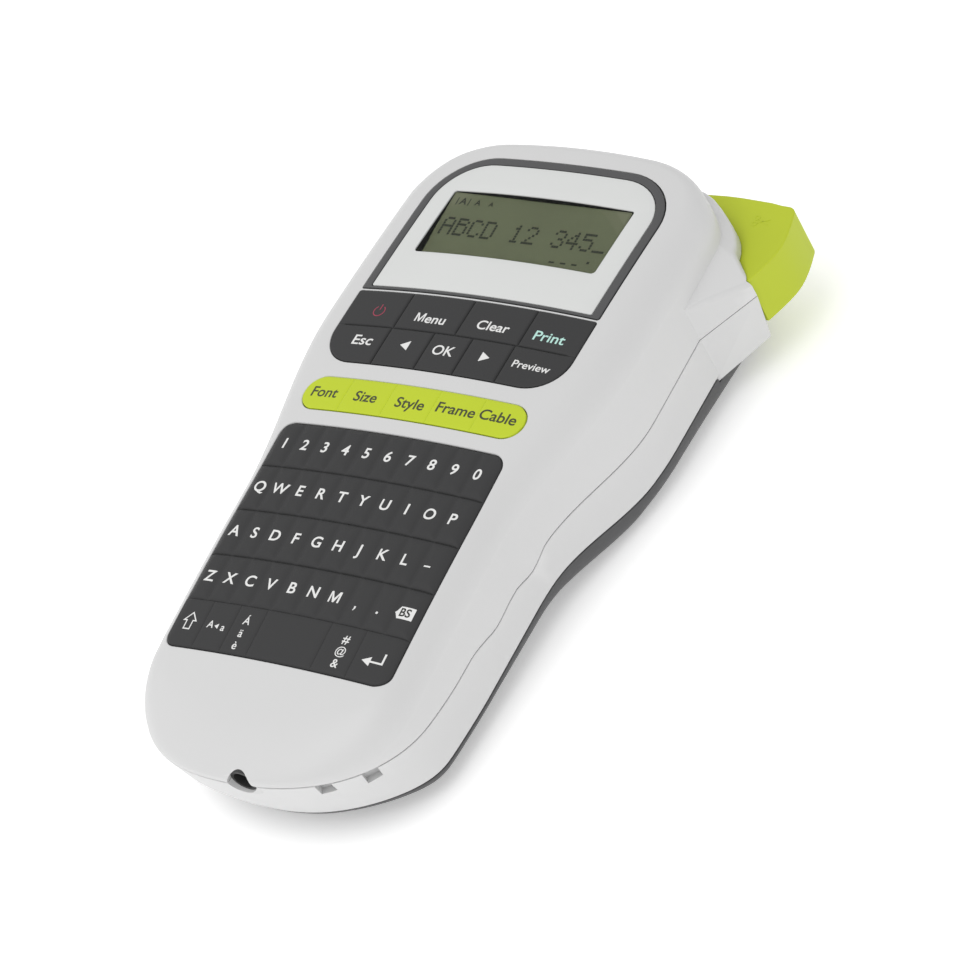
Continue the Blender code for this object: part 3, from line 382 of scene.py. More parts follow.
def skin_z(x, y):
    """Height of the front skin, with the rounded border that starts inside the outline."""
    index = EDGE.find((abs(x), y, 0.0))[1]
    (ox, oy), (nx, ny) = HALF[index], NORMALS[index]
    reach = max((ox - abs(x)) * nx + (oy - y) * ny, 0.0)
    inset, drop = fillet_size(oy)
    if reach >= inset:
        return front_z(x, y)
    lean = 1.0 - reach / inset
    drop = min(drop, front_z(x, y) - parting_z(oy) - 0.8)
    return front_z(x, y) - drop * (1.0 - math.sqrt(max(1.0 - lean * lean, 0.0)))


def join_rings(work, rings):
    for first, second in zip(rings, rings[1:]):
        for step in range(len(first)):
            ahead = (step + 1) % len(first)
            work.faces.new((first[step], first[ahead], second[ahead], second[step]))


def rounded(x0, x1, y0, y1, low_r, high_r, grow=0.0, straight=18, turn=12):
    """Counter-clockwise rectangle with its own low and high corner radii, moved out by grow."""
    corners = ((x1 - low_r, y0 + low_r, low_r, -90), (x1 - high_r, y1 - high_r, high_r, 0),
               (x0 + high_r, y1 - high_r, high_r, 90), (x0 + low_r, y0 + low_r, low_r, 180))
    points = []
    for cx, cy, radius, start in corners:
        bend = arc((cx, cy), radius + grow, start, start + 90, turn)
        if points:
            last = points[-1]
            points += [(last[0] + (bend[0][0] - last[0]) * k / straight,
                        last[1] + (bend[0][1] - last[1]) * k / straight) for k in range(1, straight)]
        points += bend
    last, first = points[-1], points[0]
    points += [(last[0] + (first[0] - last[0]) * k / straight,
                last[1] + (first[1] - last[1]) * k / straight) for k in range(1, straight)]
    return points


OPENINGS = {
    "keys": (-KEYS_X, KEYS_X, KEYS_LOW, KEYS_HIGH, 4.0, 4.0),
    "pill": (-35.2, 35.2, 12.3, 23.1, 5.3, 5.3),
    "nav": (-38.2, 38.2, 28.6, 53.4, 11.0, 0.6),
    "panel": (-38.2, 38.2, 54.4, 105.2, 0.6, 17.0),
}
LIPS = {"keys": 0.45, "pill": 0.35, "nav": 0.2, "panel": 0.2}
CLEARANCE = 0.22


def inside_polygon(x, y, polygon):
    inside = False
    for (x0, y0), (x1, y1) in zip(polygon, polygon[1:] + polygon[:1]):
        if (y0 > y) != (y1 > y) and x < (x1 - x0) * (y - y0) / (y1 - y0) + x0:
            inside = not inside
    return inside


def distance_to(x, y, polygon):
    return min((x - px) ** 2 + (y - py) ** 2 for px, py in polygon) ** 0.5


def plate_triangles(boundary, holes, spacing, guides=()):
    """Points and triangles that fill a boundary around its holes, through any guide points."""
    points = [Vector(p) for p in boundary]
    loops = [list(range(len(points)))]
    for hole in holes:
        loops.append(list(range(len(points), len(points) + len(hole))))
        points += [Vector(p) for p in hole]
    limit = guides[-1] if guides else boundary
    xs, ys = [p[0] for p in limit], [p[1] for p in limit]
    spots = [(x, y, 0.5) for guide in guides for x, y in guide]
    for column in range(int((max(xs) - min(xs)) / spacing)):
        for row in range(int((max(ys) - min(ys)) / spacing)):
            x = min(xs) + spacing * (column + 0.5 + 0.5 * (row % 2))
            y = min(ys) + spacing * (row + 0.5)
            if inside_polygon(x, y, limit) and distance_to(x, y, limit) > 0.8 * spacing:
                spots.append((x, y, 0.8 * spacing))
    for x, y, clear in spots:
        if not any(inside_polygon(x, y, h) or distance_to(x, y, h) < clear for h in holes):
            points.append(Vector((x, y)))
    edges = [(loop[k], loop[(k + 1) % len(loop)]) for loop in loops for k in range(len(loop))]
    result = delaunay_2d_cdt(points, edges, [], 0, 1e-5)
    source = [min(origin) if origin else None for origin in result[3]]
    triangles = []
    for face in result[2]:
        x = sum(result[0][k].x for k in face) / 3.0
        y = sum(result[0][k].y for k in face) / 3.0
        if inside_polygon(x, y, boundary) and not any(inside_polygon(x, y, h) for h in holes):
            triangles.append([source[k] for k in face])
    return points, loops, triangles


# ---------------------------------------------------------------- housings


HOOD_EDGE = [(56.2, 91.0), (54.2, 93.0), (52.4, 94.9), (51.8, 97.2), (50.4, 100.0), (48.6, 102.3),
             (46.2, 104.4), (43.4, 106.7), (40.2, 109.0), (37.2, 110.4), (34.5, 110.9), (31.5, 110.6)]


def wing_roof(x, y):
    """The roof slopes down and out from a crease on the wall; returns the height and the crease."""
    index = EDGE.find((x, y, 0.0))[1]
    (ox, oy), (nx, ny) = HALF[index], NORMALS[index]
    reach = (x - ox) * nx + (y - oy) * ny
    return -18.3 + 2.6 * smooth(y, 95.0, 110.0) - 0.75 * reach, (ox - 1.9 * nx, oy - 1.9 * ny)


def wing(z_low, z_high=None, extra=0.0):
    """Flared lug on the right side. Without a z_high it ends in its sloping roof, with the hood."""
    (x0, y0), (x1, y1) = (49.0, 71.8), (58.7, 88.6)
    plan = [(x0 - 1.6 - extra, y0 - 3.0 - 2.0 * extra), (x0 - 0.6 + extra, y0 - 1.2 - 2.0 * extra),
            (x1 + extra, y1 + extra)]
    if z_high:
        work = prism(plan + [(x0 - 1.6 - extra, y1 + extra)], z_low, z_high)
        for vertex in work.verts:
            if vertex.co.z < z_low + 1.0 and vertex.co.x > x1 - 1.0:
                vertex.co += Vector((-1.9, -0.5, 0.0))
        return work
    start, corner = plan[1:]
    outer = [(start[0] + (corner[0] - start[0]) * k / 6, start[1] + (corner[1] - start[1]) * k / 6)
             for k in range(7)] + HOOD_EDGE
    work = bmesh.new()
    rings = []
    for x, y in outer:
        top, (ix, iy) = wing_roof(x, y)
        crease = wing_roof(ix, iy)[0]
        corners = ((x, y, z_low), (x, y, top), (ix, iy, crease), (ix, iy, z_low))
        rings.append([work.verts.new(corner_point) for corner_point in corners])
    for first, second in zip(rings, rings[1:]):
        for k in range(4):
            work.faces.new((first[k], first[k - 1], second[k - 1], second[k]))
    work.faces.new(rings[0])
    work.faces.new(rings[-1][::-1])
    bmesh.ops.recalc_face_normals(work, faces=work.faces)
    outer_tops = {ring_points[1] for ring_points in rings[1:]}
    edge = [e for e in work.edges if e.verts[0] in outer_tops and e.verts[1] in outer_tops]
    bmesh.ops.bevel(work, geom=edge, offset=1.4, segments=4, profile=0.5, affect="EDGES", clamp_overlap=True)
    return work


def lever_slot():
    def inner_x(y):
        return 49.0 + (y - 71.8) * 8.2 / 16.8 - 2.1

    plan = [(42.0, 77.5), (inner_x(77.5), 77.5), (inner_x(88.6), 88.6), (72.0, 88.6),
            (72.0, 122.0), (15.7, 122.0), (15.7, 105.0), (34.0, 98.0), (42.0, 90.0)]
    return prism(plan, LEVER_Z[0] - 0.4, LEVER_Z[1] + 0.4)


def jack_hole():
    work = bmesh.new()
    bmesh.ops.create_cone(work, cap_ends=True, segments=48, radius1=3.8, radius2=3.8, depth=18.0)
    work.transform(Matrix.Translation((5.2, -93.5, -12.2)) @ Matrix.Rotation(math.radians(90), 4, "X"))
    return work


def jack_scoop():
    """Shallow dish beside the socket where the plug's collar goes in."""
    work = bmesh.new()
    bmesh.ops.create_uvsphere(work, u_segments=48, v_segments=24, radius=1.0)
    work.transform(Matrix.Translation((8.6, -96.1, -14.2)) @ Matrix.Diagonal((4.6, 2.6, 3.4, 1.0)))
    return work


def near_corner(point):
    return point.x > 14.0 and point.y > 69.0


def near_jack(point):
    return abs(point.x - 6.0) < 7.0 and point.y < -84.0


def jack_sleeve():
    """Dark socket lining with its contact pin."""
    work = bmesh.new()
    turns = [(3.7, -93.2), (3.7, -84.5), (2.9, -84.5), (2.9, -93.2)]
    rings = [[work.verts.new((5.2 + r * math.cos(a), y, -12.2 + r * math.sin(a)))
              for a in (math.tau * k / 40 for k in range(40))] for r, y in turns]
    join_rings(work, rings + rings[:1])
    pin = prism(arc((5.2, 12.2), 0.8, 0.0, 345.0, 23), 84.5, 91.4)
    pin.transform(Matrix.Rotation(math.radians(90), 4, "X"))
    spare = bpy.data.meshes.new("work")
    pin.to_mesh(spare)
    pin.free()
    spare.transform(Matrix.Diagonal((1.0, 1.0, -1.0, 1.0)))
    work.from_mesh(spare)
    bpy.data.meshes.remove(spare)
    bmesh.ops.recalc_face_normals(work, faces=work.faces)
    return place("jack_sleeve", work, "housing", LOOKS["black_plastic"], (), 40.0)


def front_shell():
    boundary, *guides = [[(x, y) for x, y, z in ring(*fillet(a))] for a in (50, 42, 34, 26, 18, 9, 0)]
    holes = [rounded(*OPENINGS[key], grow=CLEARANCE + LIPS[key]) for key in OPENINGS]
    points, loops, triangles = plate_triangles(boundary, holes, 3.0, guides)
    work = bmesh.new()
    top = [work.verts.new((p.x, p.y, skin_z(p.x, p.y))) for p in points]
    low = [work.verts.new((p.x, p.y, skin_z(p.x, p.y) - WALL)) for p in points]
    for triangle in triangles:
        work.faces.new([top[k] for k in triangle])
        work.faces.new([low[k] for k in triangle[::-1]])
    rim = [(0.0, lambda x, y, o: parting_z(o) + 0.15), (0.15, lambda x, y, o: parting_z(o))]
    inner = [(WALL, lambda x, y, o: parting_z(o))]
    rings = [fillet(angle) for angle in (58, 66, 74, 82, 90)] + rim + inner
    made = [[work.verts.new(p) for p in ring(*r)] for r in rings]
    join_rings(work, [[top[k] for k in loops[0]]] + made + [[low[k] for k in loops[0]]])
    for key, loop in zip(OPENINGS, loops[1:]):
        lip = LIPS[key]
        turns = [math.radians(angle) for angle in (30.0, 60.0, 90.0)]
        steps = [(CLEARANCE + lip * (1.0 - math.sin(turn)), lip * (1.0 - math.cos(turn))) for turn in turns]
        rims = [[work.verts.new((x, y, skin_z(x, y) - drop))
                 for x, y in rounded(*OPENINGS[key], grow=grow)] for grow, drop in steps]
        join_rings(work, [[top[k] for k in loop]] + rims + [[low[k] for k in loop]])
    work = cut(work, wing(-30.3), "UNION")
    work = cut(work, lever_slot())
    work = cut(work, jack_hole())
    work = cut(work, jack_scoop())
    soften(work, lambda p: near_corner(p) or near_jack(p), 0.35, 3)
    return place("front_shell", work, "housing", LOOKS["white_shell"], ["front_housing"],
                 21.0, True)


def fill_ring(work, loop, surface, spacing):
    """Close a ring with a fitted sheet that follows surface(x, y)."""
    boundary = [(vertex.co.x, vertex.co.y) for vertex in loop]
    points, loops, triangles = plate_triangles(boundary, [], spacing)
    verts = list(loop) + [work.verts.new((p.x, p.y, surface(p.x, p.y))) for p in points[len(loop):]]
    for triangle in triangles:
        work.faces.new([verts[k] for k in triangle])


def rear_shell():
    work = bmesh.new()
    gap = 0.3
    skirt, floor_top, floor_low, tub = WALL + 0.5, -22.0, -24.2, 4.8
    inner_level = lambda x, y, o: min(parting_z(o) - WALL, floor_low - WALL)
    rings = [(skirt, floor_top), (skirt, lambda x, y, o: parting_z(o) - gap),
             (0.15, lambda x, y, o: parting_z(o) - gap), (0.0, lambda x, y, o: parting_z(o) - gap - 0.15),
             (0.0, lambda x, y, o: 0.5 * (parting_z(o) + seam_z(o))),
             (0.0, lambda x, y, o: seam_z(o) + 0.2), (0.2, lambda x, y, o: seam_z(o)),
             (WALL, lambda x, y, o: seam_z(o)), (WALL, inner_level), (tub, inner_level), (tub, floor_low)]
    made = [[work.verts.new(p) for p in ring(*r)] for r in rings]
    join_rings(work, made)
    fill_ring(work, made[0], lambda x, y: floor_top, 9.0)
    fill_ring(work, made[-1], lambda x, y: floor_low, 9.0)
    work = cut(work, wing(-46.6, -30.6), "UNION")
    work = cut(work, lever_slot())
    work = cut(work, jack_hole())
    work = cut(work, jack_scoop())
    for x, y, turn in ((26.4, -88.8, 28.0), (35.2, -80.9, 47.0)):
        notch = box((-2.1, -3.0, parting_z(y) - 4.4), (2.1, 3.0, parting_z(y) + 2.0))
        notch.transform(Matrix.Translation((x, y, 0.0)) @ Matrix.Rotation(math.radians(turn), 4, "Z"))
        work = cut(work, notch)
    soften(work, lambda p: near_corner(p) or near_jack(p), 0.3, 2)
    return place("rear_shell", work, "housing", LOOKS["white_shell"], ["rear_housing"],
                 21.0, True)


def cover_shell():
    gap = 0.3

    def level(angle, extra):
        turn = math.radians(angle)

        def radius(y):
            return 7.0 + 2.5 * smooth(y, 20.0, 50.0)

        def inset(y):
            return extra + radius(y) * (1.0 - math.sin(turn))

        def height(x, y, o):
            drop = min(radius(o), seam_z(o) - 2.0 * gap - back_z(x, y))
            return back_z(x, y) + extra + drop * (1.0 - math.cos(turn))

        return inset, height

    work = bmesh.new()
    rings = [level(angle, 0.0) for angle in range(0, 91, 10)]
    rings += [(0.0, lambda x, y, o: seam_z(o) - gap - 0.15), (0.15, lambda x, y, o: seam_z(o) - gap),
              (WALL, lambda x, y, o: seam_z(o) - gap), level(45.0, WALL), level(0.0, WALL)]
    made = [[work.verts.new(p) for p in ring(*r)] for r in rings]
    join_rings(work, made)
    fill_ring(work, made[0], back_z, 4.0)
    fill_ring(work, made[-1], lambda x, y: back_z(x, y) + WALL, 6.0)
    work = cut(work, wing(-46.9, -30.3, 0.3))
    return place("cover_shell", work, "cover", LOOKS["grey_cover"], ["back_cover"])


front_shell()
rear_shell()
cover_shell()
jack_sleeve()

# ---------------------------------------------------------------- keys


def pillow(x, y, x0, x1, y0, y1, rim, depth):
    """Height of a key's cushion: flat in the middle, drawn down towards its edges."""
    reach = min(x - x0, x1 - x, y - y0, y1 - y)
    t = min(max(reach / rim, 0.0), 1.0)
    return -depth * (1.0 - t) ** 2


def letter_relief(x, y, row):
    """Ten cushions in a row."""
    column = min(max(int((x + KEYS_X) / COLUMN_PITCH), 0), 9)
    x0 = -KEYS_X + COLUMN_PITCH * column
    y1 = KEYS_HIGH - ROW_PITCH * row
    y0 = y1 - ROW_PITCH
    return pillow(x, y, x0, x0 + COLUMN_PITCH, y0, y1, 2.6, 0.6)


def field(x0, x1, y0, y1, outline, relief, step=0.42, depth=5.0, edge_drop=0.16):
    """Key cap as a fine height field, kept inside a rounded outline, with closed sides."""
    low_r, high_r = outline[4], outline[5]

    def limits(x):
        reach = max(min(x - outline[0], outline[1] - x), 0.0)

        def rise(r):
            return r - math.sqrt(max(r * r - (r - reach) ** 2, 0.0)) if reach < r else 0.0

        return max(y0, outline[2] + rise(low_r)), min(y1, outline[3] - rise(high_r))

    columns = max(int((x1 - x0) / step), 8)
    corner = max(low_r, high_r)
    stations = sorted({x0 + (x1 - x0) * k / columns for k in range(columns + 1)} | {
        outline[0] + corner * (1.0 - math.cos(math.radians(6.0 * k))) for k in range(16)
    } | {outline[1] - corner * (1.0 - math.cos(math.radians(6.0 * k))) for k in range(16)})
    stations = [x for x in stations if x0 - 1e-6 <= x <= x1 + 1e-6]
    spans = [(x, *limits(x)) for x in stations]
    spans = [s for s in spans if s[2] - s[1] > 0.2]
    rows = max(int((y1 - y0) / step), 8)
    work = bmesh.new()
    tops, bottoms = [], []
    for index, (x, low, high) in enumerate(spans):
        top, bottom = [], []
        for k in range(rows + 1):
            y = low + (high - low) * k / rows
            reach = min(y - low, high - y, (x - spans[0][0]), (spans[-1][0] - x))
            roll = edge_drop * (1.0 - min(reach / 0.5, 1.0)) ** 2
            top.append(work.verts.new((x, y, skin_z(x, y) + PROUD + relief(x, y) - roll)))
            if k in (0, rows) or index in (0, len(spans) - 1):
                bottom.append(work.verts.new((x, y, skin_z(x, y) + PROUD - depth)))
        tops.append(top)
        bottoms.append(bottom)
    for first, second in zip(tops, tops[1:]):
        for k in range(rows):
            work.faces.new((first[k], second[k], second[k + 1], first[k + 1]))
    for index in range(len(spans) - 1):
        for end in (0, -1):
            work.faces.new((tops[index][end], tops[index + 1][end],
                            bottoms[index + 1][end], bottoms[index][end]))
    for index in (0, -1):
        for k in range(rows):
            work.faces.new((tops[index][k], tops[index][k + 1], bottoms[index][k + 1], bottoms[index][k]))
    rim = [b[0] for b in bottoms] + bottoms[-1][1:-1]
    rim += [b[-1] for b in bottoms[::-1]] + bottoms[0][1:-1][::-1]
    work.faces.new(rim)
    bmesh.ops.recalc_face_normals(work, faces=work.faces)
    return work


SURFACES = {}


def key(name, x0, x1, y0, y1, outline, look, relief):
    half_gap = 0.015
    work = field(x0 + half_gap, x1 - half_gap, y0 + half_gap, y1 - half_gap, OPENINGS[outline], relief)
    place("cap_" + name, work, name + "_body", LOOKS[look], [name], 60.0)
    SURFACES[name] = relief


for row in range(4):
    high = KEYS_HIGH - ROW_PITCH * row
    key(f"letter_row_{row + 1}", -KEYS_X, KEYS_X, high - ROW_PITCH, high, "keys", "key_grey",
        lambda x, y, row=row: letter_relief(x, y, row))

BOTTOM_NAMES = ("shift", "caps", "accent", "space", "symbol", "enter")
BOTTOM_EDGES = (-KEYS_X, -25.4, -16.2, -7.4, 13.0, 23.6, KEYS_X)
for name, x0, x1 in zip(BOTTOM_NAMES, BOTTOM_EDGES, BOTTOM_EDGES[1:]):
    key("key_" + name, x0, x1, KEYS_LOW, BOTTOM_ROW_HIGH, "keys", "key_grey",
        lambda x, y, x0=x0, x1=x1: pillow(x, y, x0, x1, KEYS_LOW, BOTTOM_ROW_HIGH, 1.6, 0.12))

PILL_EDGES = (-35.2, -21.3, -7.0, 7.4, 21.4, 35.2)
for name, x0, x1 in zip(("font", "size", "style", "frame", "cable"), PILL_EDGES, PILL_EDGES[1:]):
    key("key_" + name, x0, x1, 12.3, 23.1, "pill", "key_green",
        lambda x, y: -0.12 * (abs(y - 17.7) / 5.4) ** 2)


def nav_relief(x, y, x0, x1):
    """Flat pad with a moulded groove along the split edges only."""
    edges = [abs(y - 41.2)]
    edges += [abs(x - e) for e in (x0, x1) if abs(e) < 38.0]
    fade = smooth(38.2 - abs(x), 1.0, 4.0)
    return -0.35 * max(1.0 - min(edges) / 0.8, 0.0) ** 2 * fade


NAV_TOP = (-38.2, -19.4, 0.9, 20.7, 38.2)
NAV_LOW = (-38.2, -19.6, -5.3, 7.0, 20.2, 38.2)
NAV_ROWS = ((("power", "menu", "clear", "print"), NAV_TOP, 41.2, 53.4),
            (("escape", "left", "ok", "right", "preview"), NAV_LOW, 28.6, 41.2))
for names, edges, y0, y1 in NAV_ROWS:
    for name, x0, x1 in zip(names, edges, edges[1:]):
        key("key_" + name, x0, x1, y0, y1, "nav", "key_grey",
            lambda x, y, x0=x0, x1=x1: nav_relief(x, y, x0, x1))

# ---------------------------------------------------------------- legends


def flat_text(word, size, bold=0.0, stretch=1.0):
    """Flat outline of a word, centred on its own origin, in millimetres."""
    curve = bpy.data.curves.new("text", "FONT")
    curve.body = word
    curve.size = size
    curve.offset = bold
    curve.align_x = "CENTER"
    curve.align_y = "CENTER"
    curve.resolution_u = 6
    made = bpy.data.objects.new("text", curve)
    bpy.context.scene.collection.objects.link(made)
    bpy.context.view_layer.update()
    mesh = bpy.data.meshes.new_from_object(made.evaluated_get(bpy.context.evaluated_depsgraph_get()))
    bpy.data.objects.remove(made, do_unlink=True)
    work = bmesh.new()
    work.from_mesh(mesh)
    bpy.data.meshes.remove(mesh)
    work.transform(Matrix.Diagonal((stretch, 1.0, 1.0, 1.0)))
    return work


def polygon(points):
    work = bmesh.new()
    work.faces.new([work.verts.new((x, y, 0.0)) for x, y in points])
    return work


def outline_strip(points, width, closed=True):
    """Flat band of a given width along a line."""
    work = bmesh.new()
    count = len(points)
    sides = []
    for k, (x, y) in enumerate(points):
        before = points[(k - 1) % count] if closed or k else points[k]
        after = points[(k + 1) % count] if closed or k + 1 < count else points[k]
        incoming = Vector((x - before[0], y - before[1]))
        outgoing = Vector((after[0] - x, after[1] - y))
        incoming = incoming.normalized() if incoming.length else outgoing.normalized()
        outgoing = outgoing.normalized() if outgoing.length else incoming
        across = incoming + outgoing
        across = Vector((-across.y, across.x)).normalized()
        reach = 0.5 * width / max(across.dot(Vector((-incoming.y, incoming.x))), 0.4)
        dx, dy = across.x * reach, across.y * reach
        sides.append([work.verts.new((x - dx, y - dy, 0.0)), work.verts.new((x + dx, y + dy, 0.0))])
    for k in range(count if closed else count - 1):
        first, second = sides[k], sides[(k + 1) % count]
        work.faces.new((first[0], second[0], second[1], first[1]))
    return work


def add_to(target, source, x, y):
    """Copy a flat shape into target at (x, y)."""
    moved = {vertex: target.verts.new((vertex.co.x + x, vertex.co.y + y, 0.0)) for vertex in source.verts}
    for face in source.faces:
        target.faces.new([moved[vertex] for vertex in face.verts])
    source.free()


def stamp(name, work, body, look, surface, lift=0.03, thick=0.05, cell=0.9):
    """Wrap a flat shape onto surface(x, y), with a small thickness."""
    work.normal_update()
    bmesh.ops.triangulate(work, faces=work.faces)
    for axis in (0, 1):
        values = [vertex.co[axis] for vertex in work.verts]
        for k in range(math.ceil(min(values) / cell), math.floor(max(values) / cell) + 1):
            across = Vector((1.0 - axis, axis, 0.0))
            bmesh.ops.bisect_plane(work, geom=work.verts[:] + work.edges[:] + work.faces[:], dist=1e-5,
                                   plane_co=across * (k * cell), plane_no=across)
    for face in work.faces:
        if face.normal.z < 0.0:
            face.normal_flip()
    for vertex in work.verts:
        vertex.co.z = surface(vertex.co.x, vertex.co.y) + lift - thick
    made = bmesh.ops.extrude_face_region(work, geom=list(work.faces))
    for item in made["geom"]:
        if isinstance(item, bmesh.types.BMVert):
            item.co.z += thick
    bmesh.ops.recalc_face_normals(work, faces=work.faces)
    return place(name, work, body, look, (), 30.0)


def on_key(name):
    relief = SURFACES[name]
    return lambda x, y: skin_z(x, y) + PROUD + relief(x, y)


def letter_m(height, wide, stroke):
    """The capital M as one outline."""
    w, h = 0.5 * wide, 0.5 * height
    side, dip = w - stroke, h - 1.5 * stroke
    right = [(0.42 * stroke, -h), (side, dip), (side, -h), (w, -h), (w, h), (side - 0.2 * stroke, h)]
    return polygon(right + [(0.0, -h + 2.0 * stroke)] + [(-x, y) for x, y in right[::-1]])


ROWS = ("1234567890", "QWERTYUIOP", "ASDFGHJKL-", "ZXCVBNM,.")
for row, letters in enumerate(ROWS):
    work = bmesh.new()
    for column, letter in enumerate(letters):
        x, y = -0.33 + 6.87 * (column - 4.5), -ROW_PITCH * row
        if letter == "-":
            add_to(work, polygon([(-1.0, -0.2), (1.0, -0.2), (1.0, 0.22), (-1.0, 0.22)]), x, y - 0.3)
        elif letter == ",":
            add_to(work, polygon([(-0.1, 0.35), (0.4, 0.35), (0.4, -0.25), (-0.05, -0.95), (-0.25, -0.85),
                                  (0.0, -0.25), (-0.1, -0.2)]), x, y - 1.7)
        elif letter == ".":
            add_to(work, polygon(arc((0.0, 0.0), 0.36, 0, 330, 11)), x, y - 1.8)
        elif letter == "M":
            add_to(work, letter_m(3.2, 3.4, 0.56), x, y)
        else:
            add_to(work, flat_text(letter, 4.55, 0.075, 1.04), x, y)
    name = f"letter_row_{row + 1}"
    stamp(f"legend_row_{row + 1}", work, name + "_body", PRINT["white"], on_key(name))

erase = bmesh.new()
add_to(erase, polygon([(-2.9, 0.0), (-1.6, 1.75), (2.8, 1.75), (2.8, -1.75), (-1.6, -1.75)]), 31.1, -42.8)
stamp("legend_erase_plate", erase, "letter_row_4_body", PRINT["white"], on_key("letter_row_4"))
erase = bmesh.new()
add_to(erase, flat_text("BS", 3.3, 0.06), 31.3, -42.8)
stamp("legend_erase", erase, "letter_row_4_body", PRINT["lcd"], on_key("letter_row_4"), 0.06)


def legend(name, parts, look="white"):
    work = bmesh.new()
    for shape, x, y in parts:
        add_to(work, shape, x, y)
    stamp("legend_" + name, work, name + "_body", PRINT[look], on_key(name))


ARROW_UP = [(0.0, 2.6), (2.0, 0.3), (1.0, 0.3), (1.0, -2.2), (-1.0, -2.2), (-1.0, 0.3), (-2.0, 0.3)]
legend("key_shift", [(outline_strip(ARROW_UP, 0.34), -30.0, -56.4)])
legend("key_caps", [(flat_text("A", 3.0, 0.03), -22.7, -56.5), (flat_text("a", 3.0, 0.03), -18.4, -56.9),
                    (polygon([(-0.7, 0.0), (0.55, 0.75), (0.55, -0.75)]), -20.6, -56.7)])
legend("key_accent", [(flat_text("Á", 3.2, 0.03), -12.0, -54.0), (flat_text("ä", 3.3, 0.03), -12.0, -57.7),
                      (flat_text("è", 3.3, 0.03), -12.0, -61.3)])
legend("key_symbol", [(flat_text("#", 3.5, 0.03), 19.3, -53.6), (flat_text("@", 3.2, 0.01), 19.3, -57.0),
                      (flat_text("&", 3.4, 0.03), 19.3, -60.6)])
ENTER = [(-3.4, -0.9), (-0.9, 0.4), (-0.9, -0.65), (2.3, -0.65), (2.3, 2.0), (2.85, 2.0), (2.85, -1.15),
         (-0.9, -1.15), (-0.9, -2.2)]
legend("key_enter", [(polygon(ENTER), 29.5, -56.9)])
legend("key_menu", [(letter_m(2.9, 2.9, 0.46), -12.6, 45.6), (flat_text("enu", 4.2, 0.055, 1.1), -7.4, 45.2)])
legend("key_clear", [(flat_text("Clear", 4.2, 0.055, 1.08), 10.8, 45.6)])
legend("key_print", [(flat_text("Print", 4.4, 0.045, 1.1), 28.3, 45.3)], "mint")
legend("key_escape", [(flat_text("Esc", 4.6, 0.055, 1.16), -26.4, 35.9)])
legend("key_ok", [(flat_text("OK", 4.5, 0.05, 1.02), 0.6, 35.4)])
legend("key_preview", [(flat_text("Preview", 3.3, 0.035, 1.06), 28.1, 35.3)])
legend("key_left", [(polygon([(-1.5, 0.0), (1.3, 1.6), (1.3, -1.6)]), -12.0, 35.7)])
legend("key_right", [(polygon([(1.5, 0.0), (-1.3, 1.6), (-1.3, -1.6)]), 13.8, 35.6)])
legend("key_power", [(outline_strip(arc((0.0, 0.0), 1.75, 125, 415, 24), 0.3, False), -27.1, 46.4),
                     (outline_strip([(0.0, 0.3), (0.0, 1.3), (0.0, 2.3)], 0.3, False), -27.1, 46.4)], "red")
for word, x, y in (("Font", -28.3, 17.6), ("Size", -14.2, 17.4), ("Style", 0.4, 17.2),
                   ("Frame", 14.6, 17.7), ("Cable", 27.4, 18.0)):
    legend("key_" + word.lower(), [(flat_text(word, 4.6, 0.06, 1.05), x, y)], "dark")

# ---------------------------------------------------------------- display

LCD = (-29.2, 29.2, 68.7, 92.0, 1.2, 0.8)


def band(name, outer, inner, top, look, stands_for, lip=0.25, depth=1.5):
    """Flat plate between an outer and an inner outline, with rolled edges."""
    points, loops, triangles = plate_triangles(
        rounded(*outer, grow=-lip), [rounded(*inner, grow=lip)], 3.0)
    work = bmesh.new()
    high = [work.verts.new((p.x, p.y, skin_z(p.x, p.y) + top)) for p in points]
    low = [work.verts.new((p.x, p.y, skin_z(p.x, p.y) + top - depth)) for p in points]
    for triangle in triangles:
        work.faces.new([high[k] for k in triangle])
        work.faces.new([low[k] for k in triangle[::-1]])
    for loop, side, shape in ((loops[0], -1.0, outer), (loops[1], 1.0, inner)):
        rims = []
        for angle in (30.0, 60.0, 90.0):
            grow = side * lip * (1.0 - math.sin(math.radians(angle)))
            drop = lip * (1.0 - math.cos(math.radians(angle)))
            rims.append([work.verts.new((x, y, skin_z(x, y) + top - drop))
                         for x, y in rounded(*shape, grow=grow)])
        join_rings(work, [[high[k] for k in loop]] + rims + [[low[k] for k in loop]])
    bmesh.ops.recalc_face_normals(work, faces=work.faces)
    return place(name, work, "housing", look, stands_for, 50.0)


band("display_band", (-38.1, 38.1, 54.5, 105.1, 0.6, 16.9), (-35.7, 35.7, 55.3, 102.7, 0.6, 14.5), 0.15,
     LOOKS["frame_grey"], ["display_frame"])
band("display_plate", (-35.5, 35.5, 55.5, 102.5, 0.6, 14.3), LCD, 0.08,
     LOOKS["panel_white"], ["display_panel"])

LCD_LEVEL = front_z(0.0, 80.0) - 2.4


def lcd_well_painted_shade():
    """Sloped walls from the panel's window down to the display. Their black colour, and the band reaching 0.9
    mm in over the display's edge, are painted shade along the window's edge.
    """
    work = bmesh.new()
    levels = ((0.12, -0.15), (0.0, -0.6), (-0.7, -1.6))
    rims = [[work.verts.new((x, y, skin_z(x, y) + z)) for x, y in rounded(*LCD, grow=g)] for g, z in levels]
    # the innermost ring lies 0.9 mm inside the window, on the display: a black band of painted shade along
    # its edge
    floor = [work.verts.new((x, y, LCD_LEVEL + 0.05)) for x, y in rounded(*LCD, grow=-0.9)]
    join_rings(work, rims + [floor])
    for face in work.faces:
        if face.normal.z < 0.0:
            face.normal_flip()
    bmesh.ops.solidify(work, geom=list(work.faces), thickness=0.12)
    # the black colour here is painted shade inside the window's edge
    return place("lcd_well_painted_shade", work, "housing", LOOKS["black_plastic"], (), 40.0)


